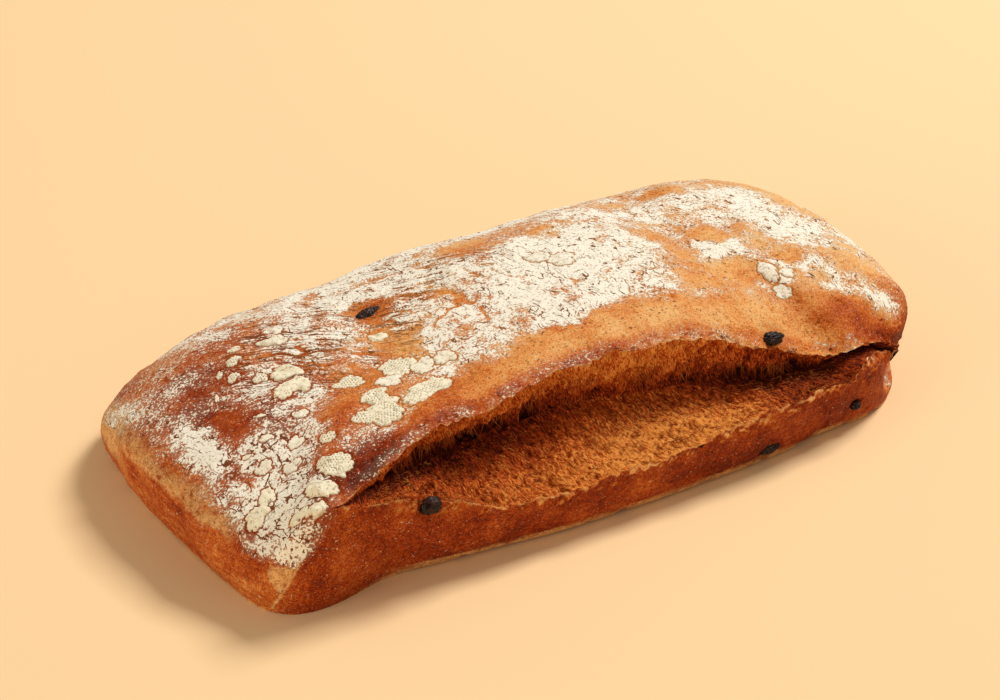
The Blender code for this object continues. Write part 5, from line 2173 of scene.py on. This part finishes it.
@dataclass
class FlourPlaques:
    """Plaques of dried flour stuck to the crust.

    Attributes:
        ground: the top that they lie on.
        fine: rings and sectors of a printed plaque.
        plain: rings and sectors of another.
        weave: half the spacing of a row's marks, and the distance between rows.
        print_depth: depth of the print.
        sunk: how far the underside is under the crust.
    """

    ground: HeightMap
    fine: tuple[int, int] = (43, 186)
    plain: tuple[int, int] = (18, 64)
    weave: Pair = (0.50, 1.15)
    print_depth: float = 0.20
    sunk: float = 0.9

    def plaque(self, plaque: Plaque) -> tuple[Array, Array, Array]:
        """One plaque: rings out from the middle, a steep edge, and a flat hidden underside.

        Args:
            plaque: its place and sizes.

        Returns:
            Points, triangles and the print at each point, with split lines and painted shade at the edge.
        """
        rings, sectors = self.fine if plaque.printed else self.plain
        if plaque.printed and plaque.wide < 4:
            rings, sectors = rings // 2, sectors // 2
        share = np.concatenate([np.linspace(0.0, 1.0, rings), [1.0, 0.5, 0.0]])[:, None]
        turn = np.linspace(0, 2 * math.pi, sectors, endpoint=False)[None, :]
        reach = plaque.reach(turn) * share
        u, v = plaque.wide * reach * np.cos(turn), plaque.deep * reach * np.sin(turn)
        cos, sin = plaque.lie
        x, y = plaque.x + u * cos - v * sin, plaque.y + u * sin + v * cos
        flat = np.stack([x, y, 0 * x], -1)
        low = self.ground.at(x, y)
        top = np.sqrt(np.clip(1 - share**5, 0, 1)) * (0.75 + 0.35 * lattice_noise(flat / 2.6 + 3.0))
        if plaque.lumps:
            cells = Cells.of(flat / (plaque.lumps, plaque.lumps, 9.0))
            top = top * (0.35 + 0.9 * smooth_step(cells.gap, 0.0, 0.45))
        height = plaque.height * top + 0.13 * lattice_noise(flat / 1.1)
        height = height + 0.07 * lattice_noise(flat / 0.5)
        across, down = math.pi * u / self.weave[0], math.pi * v / self.weave[1]
        mark = 0.5 + 0.5 * np.cos(across) * np.cos(down)
        wear = smooth_step(fractal_noise(flat / 4.0 + 9.0, 2), -0.45, -0.05)
        mark = smooth_step(mark, 0.70, 0.92) * smooth_step(0.93 - share, 0, 0.1) * wear
        mark = mark * plaque.printed
        seam = fractal_noise(flat / 3.0 + 2.0, 2)
        split_line = hump(seam, 0.03) * (plaque.lumps == 0) * (plaque.wide > 3)
        height = height - self.print_depth * mark - 0.20 * split_line * smooth_step(1 - share, 0, 0.2)
        under = np.arange(share.shape[0]) >= rings
        height = np.where(under[:, None], -self.sunk, height)
        points = np.stack([x, y, low + height], -1)
        # painted shade along the plaque's edge
        edge = smooth_step(share, 0.93, 1.0) * 0.30
        shade = np.maximum(np.maximum(mark, edge), 0.4 * split_line)
        triangles = grid_triangles(len(share), sectors, closed=True)
        return points.reshape(-1, 3), triangles, np.broadcast_to(shade, x.shape).ravel()

    def build(self) -> Piece:
        """Make all the plaques one piece.

        Returns:
            The piece.
        """
        points, triangles, shades, whites, count = [], [], [], [], 0
        for plaque in PLAQUES:
            p, t, s = self.plaque(plaque)
            points.append(p)
            triangles.append(t + count)
            shades.append(s)
            whites.append(np.full(len(p), plaque.white))
            count += len(p)
        welded, corners, first = weld(np.concatenate(points), np.concatenate(triangles))
        fields = {"print": np.concatenate(shades)[first], "white": np.concatenate(whites)[first]}
        piece = make_piece("flour_plaques", welded, corners, FlakeFinish().material(), fields)
        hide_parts("loaf")
        return piece


@dataclass
class TomatoPieces:
    """The bits of dried tomato, wrinkled and dark.

    Attributes:
        rows: rows of points from pole to pole.
        columns: points in a row.
        fold: height of the wrinkles as a share of the size.
        wrinkle: wrinkles along its length, across it and into it, to a half size.
    """

    rows: int = 60
    columns: int = 96
    fold: float = 0.16
    wrinkle: Triple = (1.6, 4.5, 3.0)

    def shape(self, bit: TomatoBit) -> tuple[Array, Array]:
        """A squashed ball whose radius is 1 - fold * |noise| over stretched wrinkles.

        Args:
            bit: its place and sizes.

        Returns:
            Points and triangles.
        """
        down = np.linspace(0, math.pi, self.rows)[:, None]
        turn = np.linspace(0, 2 * math.pi, self.columns, endpoint=False)[None, :]
        ring = np.sin(down)
        ball = np.stack([ring * np.cos(turn), ring * np.sin(turn), np.cos(down) + 0 * turn], -1)
        seed = bit.centre * 0.1
        wrinkle = np.abs(lattice_noise(ball * self.wrinkle + seed))
        wrinkle = wrinkle + 0.5 * np.abs(lattice_noise(ball * 6.5 + seed))
        radius = 0.97 - self.fold * 1.6 * wrinkle + 0.10 * lattice_noise(ball * 1.4 + seed)
        out = np.array(bit.facing) / np.linalg.norm(bit.facing)
        level = np.array([1.0, 0.0, 0.0]) - out[0] * out
        level /= np.linalg.norm(level)
        side = np.cross(out, level)
        half = np.array(bit.size) / 2
        local = ball * radius[..., None] * half
        points = local @ np.stack([level, side, out]) + bit.centre
        grid = grid_triangles(self.rows, self.columns, closed=True)
        welded, triangles, _ = weld(points.reshape(-1, 3), grid)
        return welded, triangles[:, ::-1]

    def build(self) -> list[Piece]:
        """Make every bit.

        Returns:
            The pieces.
        """
        pieces = []
        for bit in TOMATO_BITS:
            points, triangles = self.shape(bit)
            name = bit.node.replace("piece", "bit")
            piece = make_piece(name, points, triangles, TomatoFinish().material(name + "_skin"))
            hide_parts(bit.node)
            pieces.append(piece)
        return pieces


@dataclass
class CrumbStrands:
    """Threads of crumb that hang from the torn face, and short fibres on the bed.

    Attributes:
        skin: the fine skin with its relief.
        tufts: how many tufts the hanging threads make.
        hanging: how many threads hang.
        hang_lift: how far open the split is where threads hang.
        hang_span: between which places along the split they hang.
        lying: how many fibres lie on the bed.
        lie_lift: how far open the split is where fibres lie.
        lie_span: between which places along the split they lie.
        seed: start of the random draws.
    """

    skin: LoafSkin
    tufts: int = 46
    hanging: int = 620
    hang_lift: float = 12.0
    hang_span: Pair = (-96.0, 96.0)
    lying: int = 1500
    lie_lift: float = 6.0
    lie_span: Pair = (-104.0, 130.0)
    seed: int = 7

    @staticmethod
    def tubes(paths: Array, radii: Array, sides: int = 5) -> tuple[Array, Array]:
        """Closed tubes round paths: rings of radius r across the path, with points as ends.

        Args:
            paths: places along each path, by path and step.
            radii: the tube's radius at each place.
            sides: points in a ring.

        Returns:
            Points and triangles.
        """
        count, steps = paths.shape[:2]
        along = np.gradient(paths, axis=1)
        along /= np.maximum(np.linalg.norm(along, axis=-1), 1e-9)[..., None]
        side = np.cross(along, [0.31, 0.52, 0.79])
        side /= np.maximum(np.linalg.norm(side, axis=-1), 1e-9)[..., None]
        other = np.cross(along, side)
        turn = np.linspace(0, 2 * math.pi, sides, endpoint=False)
        ring = side[..., None, :] * np.cos(turn)[:, None]
        ring = ring + other[..., None, :] * np.sin(turn)[:, None]
        body = paths[:, :, None] + ring * radii[:, :, None, None]
        body = body.reshape(count, steps * sides, 3)
        points = np.concatenate([body, paths[:, :1], paths[:, -1:]], axis=1)
        one = grid_triangles(steps, sides, closed=True)
        j = np.arange(sides)
        after = (j + 1) % sides
        first, last = steps * sides, steps * sides + 1
        start = np.stack([after, j, np.full(sides, first)], -1)
        end = np.stack([j + (steps - 1) * sides, after + (steps - 1) * sides, np.full(sides, last)], -1)
        one = np.concatenate([one, start, end])
        offsets = np.arange(count)[:, None, None] * points.shape[1]
        return points.reshape(-1, 3), (one[None] + offsets).reshape(-1, 3)

    def opened(self, lift: float, span: Pair) -> Array:
        """Columns where the split is open far enough, between two places along it.

        Args:
            lift: how far open it has to be.
            span: the two places.

        Returns:
            The columns' numbers.
        """
        place, (start, stop) = self.skin.grid.place, span
        return np.flatnonzero((self.skin.grid.split["lift"] > lift) & (place > start) & (place < stop))

    def hang(self, random: np.random.Generator) -> tuple[Array, Array]:
        """Threads that hang from the torn face.

        Each is its start, plus a little outwards as t and sideways as t^2, less its length
        downwards as t^1.2.

        Args:
            random: the random draws.

        Returns:
            Points and triangles.
        """
        skin = self.skin
        grid = skin.grid
        centres = random.choice(self.opened(self.hang_lift, self.hang_span), self.tufts)
        column = random.choice(centres, self.hanging) + random.normal(0, 7, self.hanging).astype(int)
        column = column % grid.key.shape[1]
        torn_rows = grid.rows_of(Band.TORN)
        share = 0.20 + 0.45 * random.random(self.hanging)
        row = torn_rows[(share * (len(torn_rows) - 1)).astype(int)]
        start = skin.points[skin.index[row, column]]
        outward = skin.normals[skin.index[row, column]]
        lift = grid.split["lift"][column] * share
        length = np.minimum(1.0 + 5.0 * random.random(self.hanging) ** 2, 0.7 * lift)
        t = np.linspace(0, 1, 7)[None, :, None]
        sway = random.normal(0, 1.1, (self.hanging, 1, 3)) * (1, 1, 0.3)
        paths = start[:, None] - outward[:, None] * 0.4 + outward[:, None] * 0.9 * t
        paths = paths + sway * t**2 - UP * length[:, None, None] * t**1.2
        thick = 0.07 + 0.10 * random.random(self.hanging)
        radii = thick[:, None] * (1 - 0.85 * t[..., 0] ** 1.5)
        return self.tubes(paths, radii)

    def lie(self, random: np.random.Generator) -> tuple[Array, Array]:
        """Fibres that follow the bed's surface and lift off it as 4 t (1 - t).

        Args:
            random: the random draws.

        Returns:
            Points and triangles.
        """
        skin = self.skin
        grid = skin.grid
        column = random.choice(self.opened(self.lie_lift, self.lie_span), self.lying)
        bed_rows = grid.rows_of(Band.BED)
        row = bed_rows[0] + (random.random(self.lying) * (len(bed_rows) - 12)).astype(int)
        t = np.linspace(0, 1, 5)
        run = 2 + 4 * random.random(self.lying)
        drift = random.normal(-2.0, 4.0, self.lying)
        rows = (row[:, None] + run[:, None] * t).astype(int)
        columns = (column[:, None] + drift[:, None] * t).astype(int) % grid.points.shape[1]
        spots = skin.index[rows, columns]
        rise = (0.25 + 0.7 * random.random(self.lying))[:, None] * 4 * t * (1 - t)
        paths = skin.points[spots] + skin.normals[spots[:, :1]] * (rise - 0.1)[..., None]
        thick = 0.07 + 0.09 * random.random(self.lying)
        radii = thick[:, None] * (1.05 - np.abs(2 * t - 1) ** 2)
        return self.tubes(paths, radii, 4)

    def build(self) -> Piece:
        """Make the strands one piece.

        Returns:
            The piece.
        """
        random = np.random.default_rng(self.seed)
        (a, first), (b, second) = self.hang(random), self.lie(random)
        piece = make_piece(
            "crumb_strands", np.concatenate([a, b]), np.concatenate([first, second + len(a)]),
            StrandFinish().material(),
        )
        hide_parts("loaf")
        return piece


# The studio.


@dataclass(frozen=True)
class StudioLight:
    """One soft square light.

    Attributes:
        name: its name.
        turn: degrees round the loaf, 0 in front and 90 to its right.
        height: degrees above the floor.
        distance: metres from the loaf.
        size: metres across.
        power: watts.
        colour: the light's colour.
    """

    name: str
    turn: float
    height: float
    distance: float
    size: float
    power: float
    colour: Colour = (1.0, 1.0, 1.0)


@dataclass
class Studio:
    """Floor, soft lights and camera, as in the photograph.

    Attributes:
        lights: the lights.
        sky: colour of the light from all round.
        sky_power: its strength.
        floor_half: half the floor's width, metres.
        lens: focal length, millimetres.
        film: width of the camera's frame, millimetres.
        clip: nearest and farthest that the camera sees, metres.
        view_turn: degrees that the camera is turned round the loaf.
        view_height: degrees that it looks down.
        view_distance: metres from what it looks at.
        target: what it looks at, metres.
    """

    lights: tuple[StudioLight, ...] = (
        StudioLight("key_light", 97, 52, 3.0, 1.0, 83, (1.0, 0.965, 0.93)),
        StudioLight("fill_light", -30, 16, 1.8, 1.0, 3.2, (1.0, 0.90, 0.74)),
        StudioLight("side_light", -82, 16, 1.8, 0.9, 9.6, (1.0, 0.91, 0.76)),
    )
    sky: Colour = (1.0, 0.90, 0.77)
    sky_power: float = 0.34
    floor_half: float = 3.0
    lens: float = 85.0
    film: float = 36.0
    clip: Pair = (0.01, 20.0)
    view_turn: float = -32.26
    view_height: float = 28.10
    view_distance: float = 0.8096
    target: Triple = (-0.0097, -0.0025, 0.030)

    @staticmethod
    def away(turn: float, height: float, distance: float) -> Array:
        """A place at a distance, round from the front and up from the floor."""
        a, b = math.radians(turn), math.radians(height)
        return distance * np.array([math.sin(a) * math.cos(b), -math.cos(a) * math.cos(b), math.sin(b)])

    def aim(self, made: Piece, place: Array) -> None:
        """Put an object at a place round the target, looking at the target.

        Args:
            made: the object.
            place: its place from the target, metres.
        """
        made.location = place + np.array(self.target)
        made.rotation_euler = Vector(-place).to_track_quat("-Z", "Y").to_euler()
        bpy.context.scene.collection.objects.link(made)

    def floor(self) -> None:
        """A plain square floor."""
        half = self.floor_half
        mesh = bpy.data.meshes.new("studio_floor")
        corners = [(-half, -half, 0), (half, -half, 0), (half, half, 0), (-half, half, 0)]
        mesh.from_pydata(corners, [], [(0, 1, 2, 3)])
        mesh.materials.append(FloorFinish().material())
        made = bpy.data.objects.new("studio_floor", mesh)
        bpy.context.scene.collection.objects.link(made)
        made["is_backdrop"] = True

    def build(self) -> None:
        """Set up the floor, the lights, the sky and the camera."""
        self.floor()
        for light in self.lights:
            data = bpy.data.lights.new(light.name, "AREA")
            data.size, data.energy, data.color = light.size, light.power, light.colour
            made = bpy.data.objects.new(light.name, data)
            self.aim(made, self.away(light.turn, light.height, light.distance))
        scene = bpy.context.scene
        world = bpy.data.worlds.new("studio_sky")
        world.use_nodes = True
        background = world.node_tree.nodes["Background"]
        background.inputs["Color"].default_value = (*self.sky, 1.0)
        background.inputs["Strength"].default_value = self.sky_power
        scene.world = world
        scene.view_settings.view_transform = "Standard"
        camera = bpy.data.cameras.new("photo_camera")
        camera.lens, camera.sensor_width = self.lens, self.film
        camera.clip_start, camera.clip_end = self.clip
        made = bpy.data.objects.new("photo_camera", camera)
        self.aim(made, self.away(self.view_turn, self.view_height, self.view_distance))
        scene.camera = made


# Main.


def corners() -> list[list[float]]:
    """The whole model's lowest and highest corners as plain lists."""
    return [[float(value) for value in corner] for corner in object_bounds()]


def main() -> None:
    """Build the loaf's pieces in order, then the studio."""
    logging.basicConfig(level=logging.INFO, format="%(name)s: %(message)s")
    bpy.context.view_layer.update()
    skin = LoafSkin(LoafForm())
    pieces = Loaf(skin).build()
    ground = HeightMap(skin)
    pieces.append(FlourPlaques(ground).build())
    pieces += TomatoPieces().build()
    pieces.append(CrumbStrands(skin).build())
    for piece in pieces:
        LOG.info("%s: %d triangles", piece.name, len(piece.data.polygons))
    Studio().build()


if __name__ == "__main__":
    main()
